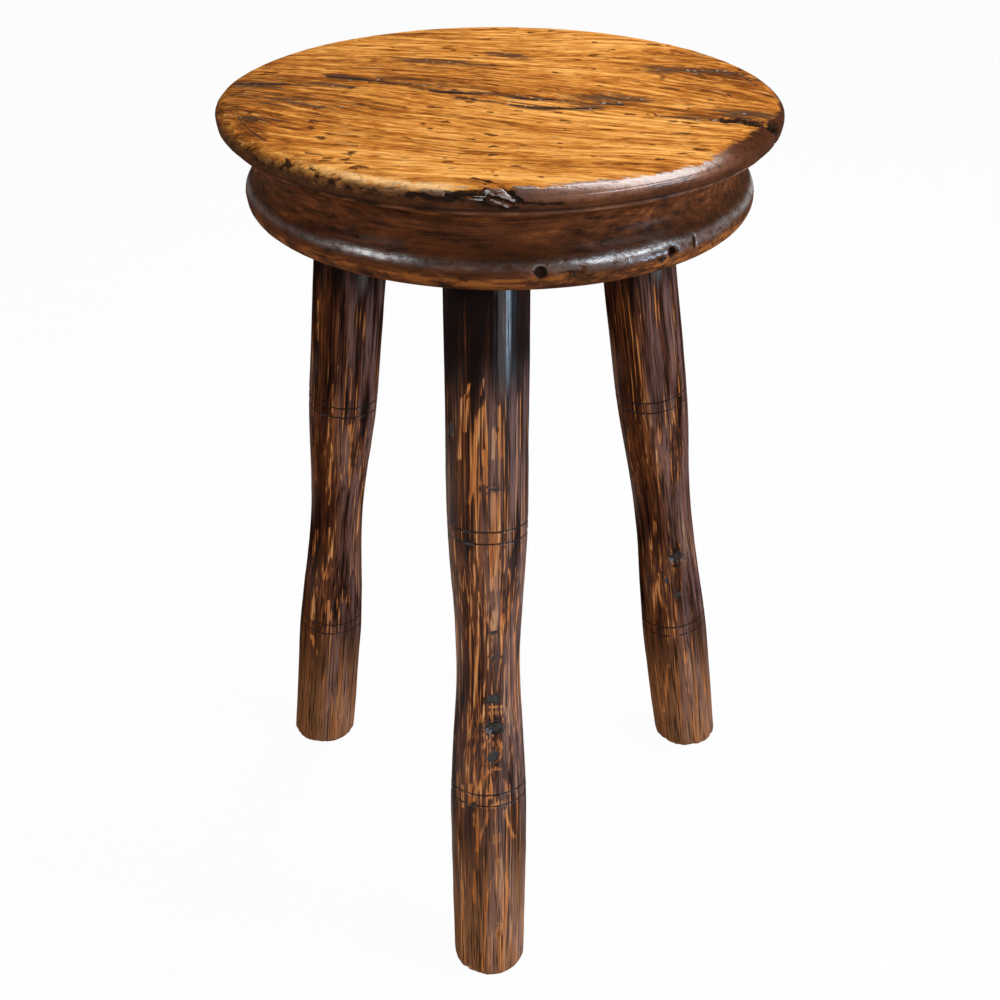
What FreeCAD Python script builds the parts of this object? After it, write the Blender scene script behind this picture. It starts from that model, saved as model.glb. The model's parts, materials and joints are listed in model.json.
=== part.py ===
"""Three-legged milking stool in turned hardwood: a moulded round seat on three splayed legs.

Millimetres, +Z up, floor at z = 0, front leg towards -Y, grain of the seat along X.
Each leg ends in a round tenon that stands in a blind socket in the seat.  The slit end of the
tenon is spread by a wedge that bears on the socket's floor, and the socket is undercut to match.
The origin is on the floor, in the middle of the stool's bounding box.
"""
import FreeCAD
import Part

import math
import os
from collections import namedtuple

from FreeCAD import Vector

# Seat slab
SEAT_HEIGHT = 459.0
SEAT_DIAMETER = 288.0
SEAT_THICKNESS = 56.5

# Moulding on the edge of the seat, from the top down: nosing, fillet, hollow and bead
NOSING_TOP_ROUND = 4.3
NOSING_UNDER_SETBACK = 1.5
NOSING_UNDER_DROP = 5.4
FILLET_SETBACK = 4.5
FILLET_DROP = 3.0
HOLLOW_SETBACK = 6.5
BEAD_SETBACK = 12.1
BEAD_ROUND = 10.5
BEAD_BLEND_ANGLE = 42.0

# Ring scored in the top of the seat
RING_SETBACK = 10.5
RING_WIDTH = 1.4
RING_DEPTH = 0.8

# Stance of the legs: bearing of each foot and socket in degrees, reach of each foot on the floor and
# circle of the sockets at the seat's underside, all bored by eye
FRONT_FOOT_REACH = 142.3
FRONT_FOOT_BEARING = -90.0
FRONT_SOCKET_BEARING = -91.7
REAR_LEFT_FOOT_REACH = 137.7
REAR_LEFT_FOOT_BEARING = 152.5
REAR_LEFT_SOCKET_BEARING = 156.5
REAR_RIGHT_FOOT_REACH = 142.3
REAR_RIGHT_FOOT_BEARING = 29.7
REAR_RIGHT_SOCKET_BEARING = 37.2
SOCKET_CIRCLE_RADIUS = 88.0

# Turning that the three legs share
FOOT_RADIUS = 19.6
FOOT_EASE_SETBACK = 3.0
FOOT_EASE_ROUND = 5.0
FOOT_EASE_SWEEP = 60.0
WAIST_REACH = 95.0
NECK_RADIUS = 21.3
SCORE_SPACING = 6.6
SCORE_WIDTH = 1.5
SCORE_DEPTH = 0.8

# Turning of each leg, done by eye, so that no two are quite alike
FRONT_BELLY_RADIUS = 20.8
FRONT_WAIST_RADIUS = 17.1
FRONT_WAIST_HEIGHT = 191.0
FRONT_SWELL_RADIUS = 21.1
FRONT_UPPER_SCORE = 268.8
FRONT_LOWER_SCORE = 114.4
REAR_LEFT_BELLY_RADIUS = 19.9
REAR_LEFT_WAIST_RADIUS = 16.0
REAR_LEFT_WAIST_HEIGHT = 179.0
REAR_LEFT_SWELL_RADIUS = 20.3
REAR_LEFT_UPPER_SCORE = 264.0
REAR_LEFT_LOWER_SCORE = 100.7
REAR_RIGHT_BELLY_RADIUS = 20.7
REAR_RIGHT_WAIST_RADIUS = 17.4
REAR_RIGHT_WAIST_HEIGHT = 178.0
REAR_RIGHT_SWELL_RADIUS = 21.4
REAR_RIGHT_UPPER_SCORE = 264.6
REAR_RIGHT_LOWER_SCORE = 99.0

# Blind tenon, its slit and the wedge in it
TENON_RADIUS = 14.5
TENON_LENGTH = 36.0
TENON_FLARE = 0.8
TENON_END_GAP = 2.0
SLIT_DEPTH = 28.0
SLIT_ROOT_WIDTH = 1.0
SLIT_END_WIDTH = 4.6
WEDGE_LENGTH = 26.0
WEDGE_WIDTH = 25.0
FIT_CLEARANCE = 0.1

seat_radius = SEAT_DIAMETER / 2
underside_z = SEAT_HEIGHT - SEAT_THICKNESS
grain = Vector(1, 0, 0)
# The front foot reaches past the seat, so the seat's axis stands a little behind the origin.
seat_axis = Vector(0, (FRONT_FOOT_REACH + FOOT_RADIUS - seat_radius) / 2, 0)

Leg = namedtuple("Leg", "name foot_reach foot_bearing socket_bearing belly_radius waist_radius waist_height "
                        "swell_radius scores")

LEGS = (
    Leg("front", FRONT_FOOT_REACH, FRONT_FOOT_BEARING, FRONT_SOCKET_BEARING, FRONT_BELLY_RADIUS,
        FRONT_WAIST_RADIUS, FRONT_WAIST_HEIGHT, FRONT_SWELL_RADIUS,
        (FRONT_UPPER_SCORE, FRONT_LOWER_SCORE)),
    Leg("rear_left", REAR_LEFT_FOOT_REACH, REAR_LEFT_FOOT_BEARING, REAR_LEFT_SOCKET_BEARING,
        REAR_LEFT_BELLY_RADIUS, REAR_LEFT_WAIST_RADIUS, REAR_LEFT_WAIST_HEIGHT, REAR_LEFT_SWELL_RADIUS,
        (REAR_LEFT_UPPER_SCORE, REAR_LEFT_LOWER_SCORE)),
    Leg("rear_right", REAR_RIGHT_FOOT_REACH, REAR_RIGHT_FOOT_BEARING, REAR_RIGHT_SOCKET_BEARING,
        REAR_RIGHT_BELLY_RADIUS, REAR_RIGHT_WAIST_RADIUS, REAR_RIGHT_WAIST_HEIGHT, REAR_RIGHT_SWELL_RADIUS,
        (REAR_RIGHT_UPPER_SCORE, REAR_RIGHT_LOWER_SCORE)),
)


def polar(radius, bearing, z):
    """Point at a distance and bearing (degrees) from the seat's axis."""
    angle = math.radians(bearing)
    return seat_axis + Vector(radius * math.cos(angle), radius * math.sin(angle), z)


def polyline(points):
    """Straight edges through the points in turn."""
    return [Part.makeLine(start, end) for start, end in zip(points, points[1:])]


def arc(start, centre, end):
    """Shorter arc about a centre from start to end, in the plane of the outline."""
    middle = (start - centre).normalize() + (end - centre).normalize()
    radius = (start - centre).Length
    return Part.Arc(start, centre + middle.normalize() * radius, end).toShape()


def turned(edges):
    """Solid of revolution about Z of a closed outline of edges."""
    face = Part.Face(Part.Wire(Part.__sortEdges__(edges)))
    return face.revolve(Vector(0, 0, 0), Vector(0, 0, 1), 360)


# Seat
def seat_outline():
    """Half section of the seat from its axis across the top, down the moulding and back underneath."""
    top_z = SEAT_HEIGHT
    ring_radius = seat_radius - RING_SETBACK
    widest_z = top_z - NOSING_TOP_ROUND
    nosing_end_z = widest_z - NOSING_UNDER_DROP
    fillet_end_z = nosing_end_z - FILLET_DROP
    under_round = (NOSING_UNDER_SETBACK ** 2 + NOSING_UNDER_DROP ** 2) / (2 * NOSING_UNDER_SETBACK)

    top_edge = Vector(seat_radius - NOSING_TOP_ROUND, 0, top_z)
    widest = Vector(seat_radius, 0, widest_z)
    nosing_end = Vector(seat_radius - NOSING_UNDER_SETBACK, 0, nosing_end_z)
    fillet_top = Vector(seat_radius - FILLET_SETBACK, 0, nosing_end_z)
    fillet_end = Vector(seat_radius - FILLET_SETBACK, 0, fillet_end_z)
    hollow_top = Vector(seat_radius - HOLLOW_SETBACK, 0, fillet_end_z)

    bead_centre = Vector(seat_radius - BEAD_SETBACK - BEAD_ROUND, 0, underside_z + BEAD_ROUND)
    blend = math.radians(BEAD_BLEND_ANGLE)
    blend_normal = Vector(math.cos(blend), 0, math.sin(blend))
    bead_top = bead_centre + blend_normal * BEAD_ROUND
    bead_widest = bead_centre + Vector(BEAD_ROUND, 0, 0)
    bead_bottom = bead_centre - Vector(0, 0, BEAD_ROUND)
    # The hollow flows out of the bead, so its centre lies on the bead's normal at their meeting point.
    chord = hollow_top - bead_top
    hollow_round = chord.dot(chord) / (2 * chord.dot(blend_normal))
    hollow_centre = bead_top + blend_normal * hollow_round

    top = polyline([
        Vector(0, 0, top_z),
        Vector(ring_radius - RING_WIDTH / 2, 0, top_z),
        Vector(ring_radius, 0, top_z - RING_DEPTH),
        Vector(ring_radius + RING_WIDTH / 2, 0, top_z),
        top_edge,
    ])
    nosing = [
        arc(top_edge, Vector(top_edge.x, 0, widest_z), widest),
        arc(widest, Vector(seat_radius - under_round, 0, widest_z), nosing_end),
    ]
    fillet = polyline([nosing_end, fillet_top, fillet_end, hollow_top])
    ogee = [
        arc(hollow_top, hollow_centre, bead_top),
        arc(bead_top, bead_centre, bead_widest),
        arc(bead_widest, bead_centre, bead_bottom),
    ]
    under = polyline([bead_bottom, Vector(0, 0, underside_z), Vector(0, 0, top_z)])
    return top + nosing + fillet + ogee + under


def make_seat():
    """Seat slab with its three blind sockets."""
    seat = turned(seat_outline())
    seat.translate(seat_axis)
    for leg in LEGS:
        seat = seat.cut(make_socket(leg))
    return seat


# Legs
def leg_ends(leg):
    """Centre of the foot on the floor and centre of the shoulder at the seat's underside."""
    foot = polar(leg.foot_reach, leg.foot_bearing, 0)
    shoulder = polar(SOCKET_CIRCLE_RADIUS, leg.socket_bearing, underside_z)
    return foot, shoulder


def leg_length(leg):
    """Length of the leg along its axis, from the floor to the seat's underside."""
    foot, shoulder = leg_ends(leg)
    return (shoulder - foot).Length


def bevel_rise(leg):
    """Run along the leg's axis that a level cut takes up from one side of the leg to its middle, with spare."""
    foot, shoulder = leg_ends(leg)
    lean = math.hypot(shoulder.x - foot.x, shoulder.y - foot.y) / underside_z
    return 2 * NECK_RADIUS * lean


def stand(shape, leg):
    """Shape built along Z from the foot, stood on the leg's axis with its X as near the grain as can be."""
    foot, shoulder = leg_ends(leg)
    turn = FreeCAD.Rotation(grain, Vector(0, 1, 0), shoulder - foot, "ZXY")
    return shape.transformed(FreeCAD.Placement(foot, turn).toMatrix(), copy=True)


def leg_curve(leg):
    """Side of the turned leg: foot, belly, waist, swell and neck, each a place where the side runs straight."""
    spare = bevel_rise(leg)
    stations = [
        Vector(FOOT_RADIUS, 0, -spare),
        Vector(leg.belly_radius, 0, leg.waist_height - WAIST_REACH),
        Vector(leg.waist_radius, 0, leg.waist_height),
        Vector(leg.swell_radius, 0, leg.waist_height + WAIST_REACH),
        Vector(NECK_RADIUS, 0, leg_length(leg) + spare),
    ]
    curve = Part.BSplineCurve()
    curve.interpolate(Points=stations, Tangents=[Vector(0, 0, 1)] * len(stations),
                      TangentFlags=[True] * len(stations))
    return curve.toShape()


def side_radius(side, height):
    """Radius of the turned side at a height along the leg."""
    level = Part.makeLine(Vector(0, 0, height), Vector(2 * NECK_RADIUS, 0, height))
    return level.distToShape(side)[1][0][1].x


def ground_space(leg):
    """Level space between the floor and the seat's underside, drawn in round the foot to ease its edge."""
    foot, shoulder = leg_ends(leg)
    reach = (shoulder - foot).Length
    flat = FOOT_RADIUS - FOOT_EASE_SETBACK
    sweep = math.radians(FOOT_EASE_SWEEP)
    ease_start = Vector(flat, 0, 0)
    ease_centre = Vector(flat, 0, FOOT_EASE_ROUND)
    ease_end = ease_centre + Vector(math.sin(sweep), 0, -math.cos(sweep)) * FOOT_EASE_ROUND
    outline = polyline([
        ease_end,
        Vector(reach, 0, ease_end.z),
        Vector(reach, 0, underside_z),
        Vector(0, 0, underside_z),
        Vector(0, 0, 0),
        ease_start,
    ])
    space = turned(outline + [arc(ease_start, ease_centre, ease_end)])
    # The leg's seam lies towards X, so a quarter turn keeps the two seams apart.
    space.rotate(Vector(0, 0, 0), Vector(0, 0, 1), 90)
    space.translate(foot)
    return space


def score_ring(side, height):
    """Ring to cut away for one V-shaped scored line."""
    bottom = side_radius(side, height) - SCORE_DEPTH
    outside = bottom + 2 * SCORE_DEPTH
    apex = Vector(bottom, 0, height)
    lower = Vector(outside, 0, height - SCORE_WIDTH)
    upper = Vector(outside, 0, height + SCORE_WIDTH)
    return turned(polyline([apex, lower, upper, apex]))


def tenon_form(leg, length, clearance):
    """Flared round tenon or its socket, from just inside the leg to its end."""
    root = leg_length(leg) - bevel_rise(leg)
    flare = TENON_FLARE / TENON_LENGTH
    start_radius = TENON_RADIUS + clearance - flare * bevel_rise(leg)
    end_radius = TENON_RADIUS + clearance + flare * length
    return Part.makeCone(start_radius, end_radius, bevel_rise(leg) + length, Vector(0, 0, root))


def wedge_form(leg, low, high, width, clearance):
    """Tapered prism on the slit's own taper, between two distances from the tenon's end."""
    tenon_end = leg_length(leg) + TENON_LENGTH
    taper = (SLIT_END_WIDTH - SLIT_ROOT_WIDTH) / SLIT_DEPTH

    def side(distance):
        return SLIT_END_WIDTH / 2 + taper / 2 * distance - clearance

    corners = [
        Vector(-side(low), -width / 2, tenon_end + low),
        Vector(side(low), -width / 2, tenon_end + low),
        Vector(side(high), -width / 2, tenon_end + high),
        Vector(-side(high), -width / 2, tenon_end + high),
    ]
    return Part.Face(Part.makePolygon(corners + corners[:1])).extrude(Vector(0, width, 0))


def make_socket(leg):
    """Space of the blind socket, a little wider and deeper than the tenon."""
    return stand(tenon_form(leg, TENON_LENGTH + TENON_END_GAP, FIT_CLEARANCE), leg)


def make_leg(leg):
    """Turned leg, cut level at the floor and at the seat's underside, with its slit tenon."""
    side = leg_curve(leg)
    low, high = side.Vertexes[0].Point, side.Vertexes[-1].Point
    ends = polyline([high, Vector(0, 0, high.z), Vector(0, 0, low.z), low])
    body = turned([side] + ends)
    for middle in leg.scores:
        for height in (middle - SCORE_SPACING / 2, middle + SCORE_SPACING / 2):
            body = body.cut(score_ring(side, height))

    body = stand(body, leg).common(ground_space(leg))
    slit = wedge_form(leg, -SLIT_DEPTH, TENON_END_GAP, 3 * TENON_RADIUS, 0)
    tenon = tenon_form(leg, TENON_LENGTH, 0)
    return body.fuse(stand(tenon, leg)).cut(stand(slit, leg)).removeSplitter()


def make_wedge(leg):
    """Wedge in the tenon's slit, with its butt on the socket's floor."""
    tip = TENON_END_GAP - WEDGE_LENGTH
    return stand(wedge_form(leg, tip, TENON_END_GAP, WEDGE_WIDTH, FIT_CLEARANCE), leg)


def main():
    """Write one STEP file for each piece."""
    pieces = {"seat": make_seat()}
    for leg in LEGS:
        pieces["leg_" + leg.name] = make_leg(leg)
        pieces["wedge_" + leg.name] = make_wedge(leg)
    os.makedirs("parts", exist_ok=True)
    for node, shape in pieces.items():
        shape.exportStep("parts/" + node + ".step")
        print(node, "solids", len(shape.Solids), "valid", shape.isValid(), "volume", round(shape.Volume, 1))


main()
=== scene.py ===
"""Looks of the three-legged milking stool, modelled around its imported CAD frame.

The frame is the CAD model's: metres, +Z up, floor at z = 0, front leg towards -Y.  Sizes of the
pieces are written in millimetres and become metres as each mesh is placed.
"""
import json
import logging
import math
from dataclasses import dataclass, field
from enum import Enum
from functools import cached_property
from typing import Any, Sequence

import bpy
import numpy as np
from mathutils import Matrix, Vector, noise


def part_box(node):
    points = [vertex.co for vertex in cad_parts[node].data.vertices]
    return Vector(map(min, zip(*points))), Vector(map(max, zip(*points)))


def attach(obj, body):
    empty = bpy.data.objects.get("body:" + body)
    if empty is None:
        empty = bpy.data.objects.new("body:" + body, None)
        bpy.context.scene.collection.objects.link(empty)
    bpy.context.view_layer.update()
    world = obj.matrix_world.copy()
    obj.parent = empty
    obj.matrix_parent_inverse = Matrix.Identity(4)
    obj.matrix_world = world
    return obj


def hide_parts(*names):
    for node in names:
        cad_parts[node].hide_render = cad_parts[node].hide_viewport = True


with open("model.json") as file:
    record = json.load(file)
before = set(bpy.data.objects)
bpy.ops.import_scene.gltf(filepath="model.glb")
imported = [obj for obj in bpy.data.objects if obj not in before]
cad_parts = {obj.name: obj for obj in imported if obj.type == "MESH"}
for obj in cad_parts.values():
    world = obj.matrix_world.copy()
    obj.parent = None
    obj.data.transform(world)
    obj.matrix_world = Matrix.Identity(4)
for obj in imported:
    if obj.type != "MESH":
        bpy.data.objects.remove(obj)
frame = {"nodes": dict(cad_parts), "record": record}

MM = 0.001
IMAGE_WIDTH_PX = 1000
NOISE_LAYERS = 3
TOUCH = 0.01             # distance in millimetres at which two points count as one
EDGE_REACH = 24.0        # way in millimetres over which the edge mark goes from 0 to 1
VIEW_TURN = 2.35         # degrees by which the photograph's view is turned about Z
LOG = logging.getLogger("milking_stool")

Colour = tuple[float, float, float]
Outline = list[tuple[float, float]]


# Shader tools

class Flow:
    """A number, colour or vector on its way through the nodes of a material."""

    def __init__(self, shader: "Shader", socket: bpy.types.NodeSocket) -> None:
        """Wrap an output socket of a shader's node."""
        self.shader = shader
        self.socket = socket

    def maths(self, operation: str, *others: "Flow | float") -> "Flow":
        """Add a Math node that takes this value first.

        Args:
            operation: name of the Math node's operation.
            others: further values, in the order of the node's sockets.

        Returns:
            The node's result.
        """
        values = dict(enumerate((self, *others)))
        return self.shader.add("ShaderNodeMath", {"operation": operation}, values)

    def _swapped(self, operation: str, other: float) -> "Flow":
        """Add a Math node that takes a plain number first and this value second."""
        return self.shader.add("ShaderNodeMath", {"operation": operation}, {0: other, 1: self})

    def __add__(self, other: "Flow | float") -> "Flow":
        """Sum."""
        return self.maths("ADD", other)

    __radd__ = __add__

    def __sub__(self, other: "Flow | float") -> "Flow":
        """Difference."""
        return self.maths("SUBTRACT", other)

    def __rsub__(self, other: float) -> "Flow":
        """Difference from a plain number."""
        return self._swapped("SUBTRACT", other)

    def __mul__(self, other: "Flow | float") -> "Flow":
        """Product."""
        return self.maths("MULTIPLY", other)

    __rmul__ = __mul__

    def __truediv__(self, other: "Flow | float") -> "Flow":
        """Quotient."""
        return self.maths("DIVIDE", other)

    def __pow__(self, other: "Flow | float") -> "Flow":
        """Power."""
        return self.maths("POWER", other)

    def or_more(self, other: "Flow | float") -> "Flow":
        """The larger of two values."""
        return self.maths("MAXIMUM", other)

    def clamped(self) -> "Flow":
        """The value held between 0 and 1."""
        return self.shader.add("ShaderNodeClamp", {}, {"Value": self})

    def rise(self, low: float, high: float) -> "Flow":
        """Smooth step, which falls where low is the larger.

        Args:
            low: value at which the result is 0.
            high: value at which the result is 1.

        Returns:
            The step, held between 0 and 1.
        """
        if low > high:
            return 1 - self.rise(high, low)
        settings = {"interpolation_type": "SMOOTHSTEP"}
        return self.shader.add("ShaderNodeMapRange", settings, {"Value": self, 1: low, 2: high})

    def hump(self, middle: float, width: float) -> "Flow":
        """Bell-shaped hump of height 1 where this value passes a middle value."""
        offset = (self - middle) / width
        return (offset * offset * -1).maths("EXPONENT")


class Shader:
    """The node tree of one material, written as expressions."""

    def __init__(self, name: str) -> None:
        """Start an empty material with an output node.

        Args:
            name: name of the material.
        """
        self.material = bpy.data.materials.new(name)
        self.material.use_nodes = True
        self.tree = self.material.node_tree
        self.tree.nodes.clear()
        self.output = self.tree.nodes.new("ShaderNodeOutputMaterial")

    def add(self, kind: str, settings: dict[str, Any], values: dict[Any, Any], result: Any = 0) -> Flow:
        """Add one node.

        Args:
            kind: the node's type.
            settings: attributes of the node, set first; "stops" fills a colour ramp.
            values: values or flows for its input sockets, by name or index.
            result: name or index of the output socket to return.

        Returns:
            The chosen output.
        """
        node = self.tree.nodes.new(kind)
        for name, setting in settings.items():
            if name == "stops":
                self._fill_ramp(node.color_ramp, setting)
            else:
                setattr(node, name, setting)
        for key, value in values.items():
            if isinstance(value, Flow):
                self.tree.links.new(value.socket, node.inputs[key])
            else:
                node.inputs[key].default_value = value
        return Flow(self, node.outputs[result])

    @staticmethod
    def _fill_ramp(ramp: bpy.types.ColorRamp, stops: Sequence[tuple[float, Colour]]) -> None:
        """Give a colour ramp its stops.

        Args:
            ramp: the ramp.
            stops: place and colour of each stop, in order.
        """
        while len(ramp.elements) < len(stops):
            ramp.elements.new(0.5)
        for element, (place, colour) in zip(ramp.elements, stops):
            element.position = place
            element.color = (*colour, 1.0)

    def place(self, origin: Vector, turn: Sequence[float]) -> Flow:
        """Object coordinates about an origin.

        Args:
            origin: the origin in metres.
            turn: turn of the axes as XYZ angles in radians.

        Returns:
            Place in millimetres.
        """
        spot = self.add("ShaderNodeTexCoord", {}, {}, "Object")
        values = {"Vector": spot, "Location": origin, "Rotation": turn, "Scale": (MM, MM, MM)}
        return self.add("ShaderNodeMapping", {"vector_type": "TEXTURE"}, values)

    def split(self, vector: Flow) -> tuple[Flow, Flow, Flow]:
        """Take a vector apart.

        Args:
            vector: the vector.

        Returns:
            Its three components.
        """
        first = self.add("ShaderNodeSeparateXYZ", {}, {0: vector})
        outputs = first.socket.node.outputs
        return first, Flow(self, outputs[1]), Flow(self, outputs[2])

    def join(self, x: Flow, y: Flow, z: Flow) -> Flow:
        """Vector of three components."""
        return self.add("ShaderNodeCombineXYZ", {}, {0: x, 1: y, 2: z})

    def cells(self, vector: Flow, cell: Sequence[float]) -> Flow:
        """Place counted in cells of a given size along each axis."""
        return self.add("ShaderNodeVectorMath", {"operation": "DIVIDE"}, {0: vector, 1: cell})

    def cloud(self, vector: Flow, cell: Sequence[float], detail: float = 2.0, crisp: float = 0.5) -> Flow:
        """Fractal noise about 0.5.

        Args:
            vector: place in millimetres.
            cell: size of the largest features along each axis, in millimetres.
            detail: number of finer layers.
            crisp: strength of each finer layer against the one before.

        Returns:
            The noise's value.
        """
        values = {"Vector": self.cells(vector, cell), "Scale": 1.0, "Detail": detail, "Roughness": crisp}
        return self.add("ShaderNodeTexNoise", {}, values)

    def specks(self, vector: Flow, cell: Sequence[float], share: float, size: float) -> Flow:
        """Scattered spots.

        Args:
            vector: place in millimetres.
            cell: spacing of the spots along each axis, in millimetres.
            share: part of the places that hold a spot.
            size: radius of a spot as a part of the spacing.

        Returns:
            1 in the middle of a spot, 0 between spots.
        """
        values = {"Vector": self.cells(vector, cell), "Scale": 1.0}
        distance = self.add("ShaderNodeTexVoronoi", {}, values, "Distance")
        chance = self.split(Flow(self, distance.socket.node.outputs["Color"]))[0]
        return distance.rise(size, size * 0.7) * chance.rise(share + 0.02, share - 0.02)

    def crazing(self, vector: Flow, cell: Sequence[float], width: float) -> Flow:
        """Net of fine lines between cells.

        Args:
            vector: place in millimetres.
            cell: size of the cells along each axis, in millimetres.
            width: half width of a line as a part of the size.

        Returns:
            1 on the lines, 0 within the cells.
        """
        settings = {"feature": "DISTANCE_TO_EDGE"}
        values = {"Vector": self.cells(vector, cell), "Scale": 1.0}
        inside = self.add("ShaderNodeTexVoronoi", settings, values, "Distance")
        return inside.rise(width, width * 0.3)

    def blend(self, share: Flow | float, first: Flow | Colour, second: Flow | Colour) -> Flow:
        """Colour that goes from the first to the second as share goes from 0 to 1."""
        ends = [end if isinstance(end, Flow) else (*end, 1.0) for end in (first, second)]
        return self.add("ShaderNodeMix", {"data_type": "RGBA"}, {0: share, 6: ends[0], 7: ends[1]}, 2)

    def coats(self, colour: Flow, *coats: tuple[Flow, Flow | Colour]) -> Flow:
        """Lay further colours over a colour in turn.

        Args:
            colour: the colour to start from.
            coats: share and colour of each coat.

        Returns:
            The colour under all coats.
        """
        for share, coat in coats:
            colour = self.blend(share, colour, coat)
        return colour

    def ramp(self, value: Flow, *stops: tuple[float, Colour]) -> Flow:
        """Colour looked up along a ramp."""
        return self.add("ShaderNodeValToRGB", {"stops": stops}, {"Fac": value})

    def mark(self, mark: "Mark") -> Flow:
        """Value of an attribute that the mesh carries."""
        return self.add("ShaderNodeAttribute", {"attribute_name": mark.value}, {}, "Fac")

    def finish(
            self, colour: Flow, roughness: Flow, wax: Flow, height: Flow, gloss: "Gloss",
    ) -> bpy.types.Material:
        """Wire up a wood that is bare in places and waxed in others.

        Args:
            colour: base colour.
            roughness: roughness of the bare wood.
            wax: share of the surface that shines with wax.
            height: relief in millimetres.
            gloss: fixed values of the shine.

        Returns:
            The finished material.
        """
        grooved, filled = (
            self.add("ShaderNodeBump", {}, {"Height": height, "Strength": strength, "Distance": MM})
            for strength in (gloss.relief, gloss.wax_relief))
        bare = self.add("ShaderNodeBsdfPrincipled", {}, {
            "Base Color": colour, "Normal": grooved, "Roughness": roughness,
            "Specular IOR Level": gloss.bare_level})
        waxed = self.add("ShaderNodeBsdfPrincipled", {}, {
            "Base Color": colour, "Normal": filled, "Roughness": gloss.wax_roughness,
            "IOR": gloss.wax_index})
        return self.surface(self.add("ShaderNodeMixShader", {}, {0: wax, 1: bare, 2: waxed}))

    def surface(self, shader_flow: Flow) -> bpy.types.Material:
        """Connect the finished shader and return the material."""
        self.tree.links.new(shader_flow.socket, self.output.inputs["Surface"])
        return self.material


@dataclass(frozen=True)
class Gloss:
    """Values of a finish's shine that are the same all over."""

    bare_level: float
    wax_index: float
    wax_roughness: float
    relief: float = 1.0
    wax_relief: float = 0.5


# Mesh tools

class Mark(Enum):
    """Attributes painted on the meshes for their finishes."""

    CRACK = "crack"
    SCAR = "scar"
    RIDGE = "ridge"
    SOOT = "soot"
    EDGE = "edge"
    CRAZE = "craze"
    SCORE = "score"
    KNOT = "knot"
    RUBBED = "rubbed"


def deselect_all() -> None:
    """Leave nothing selected or active in object mode."""
    bpy.ops.object.select_all(action="DESELECT")
    bpy.context.view_layer.objects.active = None


def make_active(piece: bpy.types.Object) -> None:
    """Select one piece alone and make it active.

    Args:
        piece: the piece.
    """
    deselect_all()
    piece.select_set(True)
    bpy.context.view_layer.objects.active = piece


def arc_points(centre: Sequence[float], radius: float, start: float, end: float, step: float) -> Outline:
    """Points along an arc.

    Args:
        centre: centre of the arc as radius and height.
        radius: radius of the arc.
        start: first angle in degrees.
        end: last angle in degrees.
        step: greatest distance between points.

    Returns:
        Points from start to end, both included.
    """
    count = max(2, math.ceil(radius * math.radians(abs(end - start)) / step))
    angles = np.radians(np.linspace(start, end, count + 1))
    return [(centre[0] + radius * math.cos(a), centre[1] + radius * math.sin(a)) for a in angles]


def line_points(start: Sequence[float], end: Sequence[float], step: float) -> Outline:
    """Points along a straight line, both ends included."""
    count = max(1, math.ceil(math.dist(start, end) / step))
    return [tuple(p) for p in np.linspace(start, end, count + 1)]


def joined(runs: Sequence[Outline]) -> Outline:
    """Join runs that each start where the last one ends.

    Args:
        runs: the runs in order.

    Returns:
        One outline without doubled points.
    """
    outline = [runs[0][0]]
    for run in runs:
        outline += run[1:]
    return outline


def worn(outline: Outline, rounds: int) -> Outline:
    """Wear the corners of an outline soft.

    Args:
        outline: the outline.
        rounds: how often each point is averaged with its neighbours.

    Returns:
        The worn outline, with both ends where they were.
    """
    points = np.array(outline)
    for _ in range(rounds):
        points[1:-1] = points[:-2] / 4 + points[1:-1] / 2 + points[2:] / 4
    return [tuple(p) for p in points]


def turned_body(name: str, outline: Outline, steps: int) -> bpy.types.Object:
    """Turn an outline about Z, as on a lathe.

    Args:
        name: name of the new object.
        outline: radius and height of its points, in millimetres.
        steps: number of segments around.

    Returns:
        The new object, active, in object mode.
    """
    deselect_all()
    bpy.ops.mesh.primitive_plane_add(size=MM)
    piece = bpy.context.object
    piece.name = name
    piece.data.name = name
    bpy.ops.object.mode_set(mode="EDIT")
    bpy.ops.mesh.select_mode(type="VERT")
    bpy.ops.mesh.select_all(action="SELECT")
    bpy.ops.mesh.merge(type="CENTER")
    bpy.ops.transform.translate(value=(outline[0][0] * MM, 0, outline[0][1] * MM))
    for before, after in zip(outline, outline[1:]):
        step = ((after[0] - before[0]) * MM, 0, (after[1] - before[1]) * MM)
        bpy.ops.mesh.extrude_region_move(TRANSFORM_OT_translate={"value": step})
    bpy.ops.object.mode_set(mode="OBJECT")
    lathe = piece.modifiers.new("lathe", "SCREW")
    lathe.axis = "Z"
    lathe.angle = math.tau
    lathe.steps = steps
    lathe.render_steps = steps
    lathe.use_merge_vertices = True
    lathe.merge_threshold = TOUCH * MM
    bpy.ops.object.modifier_apply(modifier=lathe.name)
    return piece


def close_body(piece: bpy.types.Object) -> None:
    """Merge doubled points, turn the faces outwards and shade smooth.

    Args:
        piece: the body to close.
    """
    make_active(piece)
    bpy.ops.object.mode_set(mode="EDIT")
    bpy.ops.mesh.select_all(action="SELECT")
    bpy.ops.mesh.remove_doubles(threshold=TOUCH * MM)
    bpy.ops.mesh.normals_make_consistent(inside=False)
    bpy.ops.object.mode_set(mode="OBJECT")
    bpy.ops.object.shade_smooth()


def select_points(piece: bpy.types.Object, chosen: np.ndarray) -> None:
    """Go into edit mode with some points selected and no others.

    Args:
        piece: the body that holds the points.
        chosen: which points are selected.
    """
    make_active(piece)
    bpy.ops.object.mode_set(mode="EDIT")
    bpy.ops.mesh.select_mode(type="VERT")
    bpy.ops.mesh.select_all(action="DESELECT")
    bpy.ops.object.mode_set(mode="OBJECT")
    piece.data.vertices.foreach_set("select", chosen)
    bpy.ops.object.mode_set(mode="EDIT")


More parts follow.
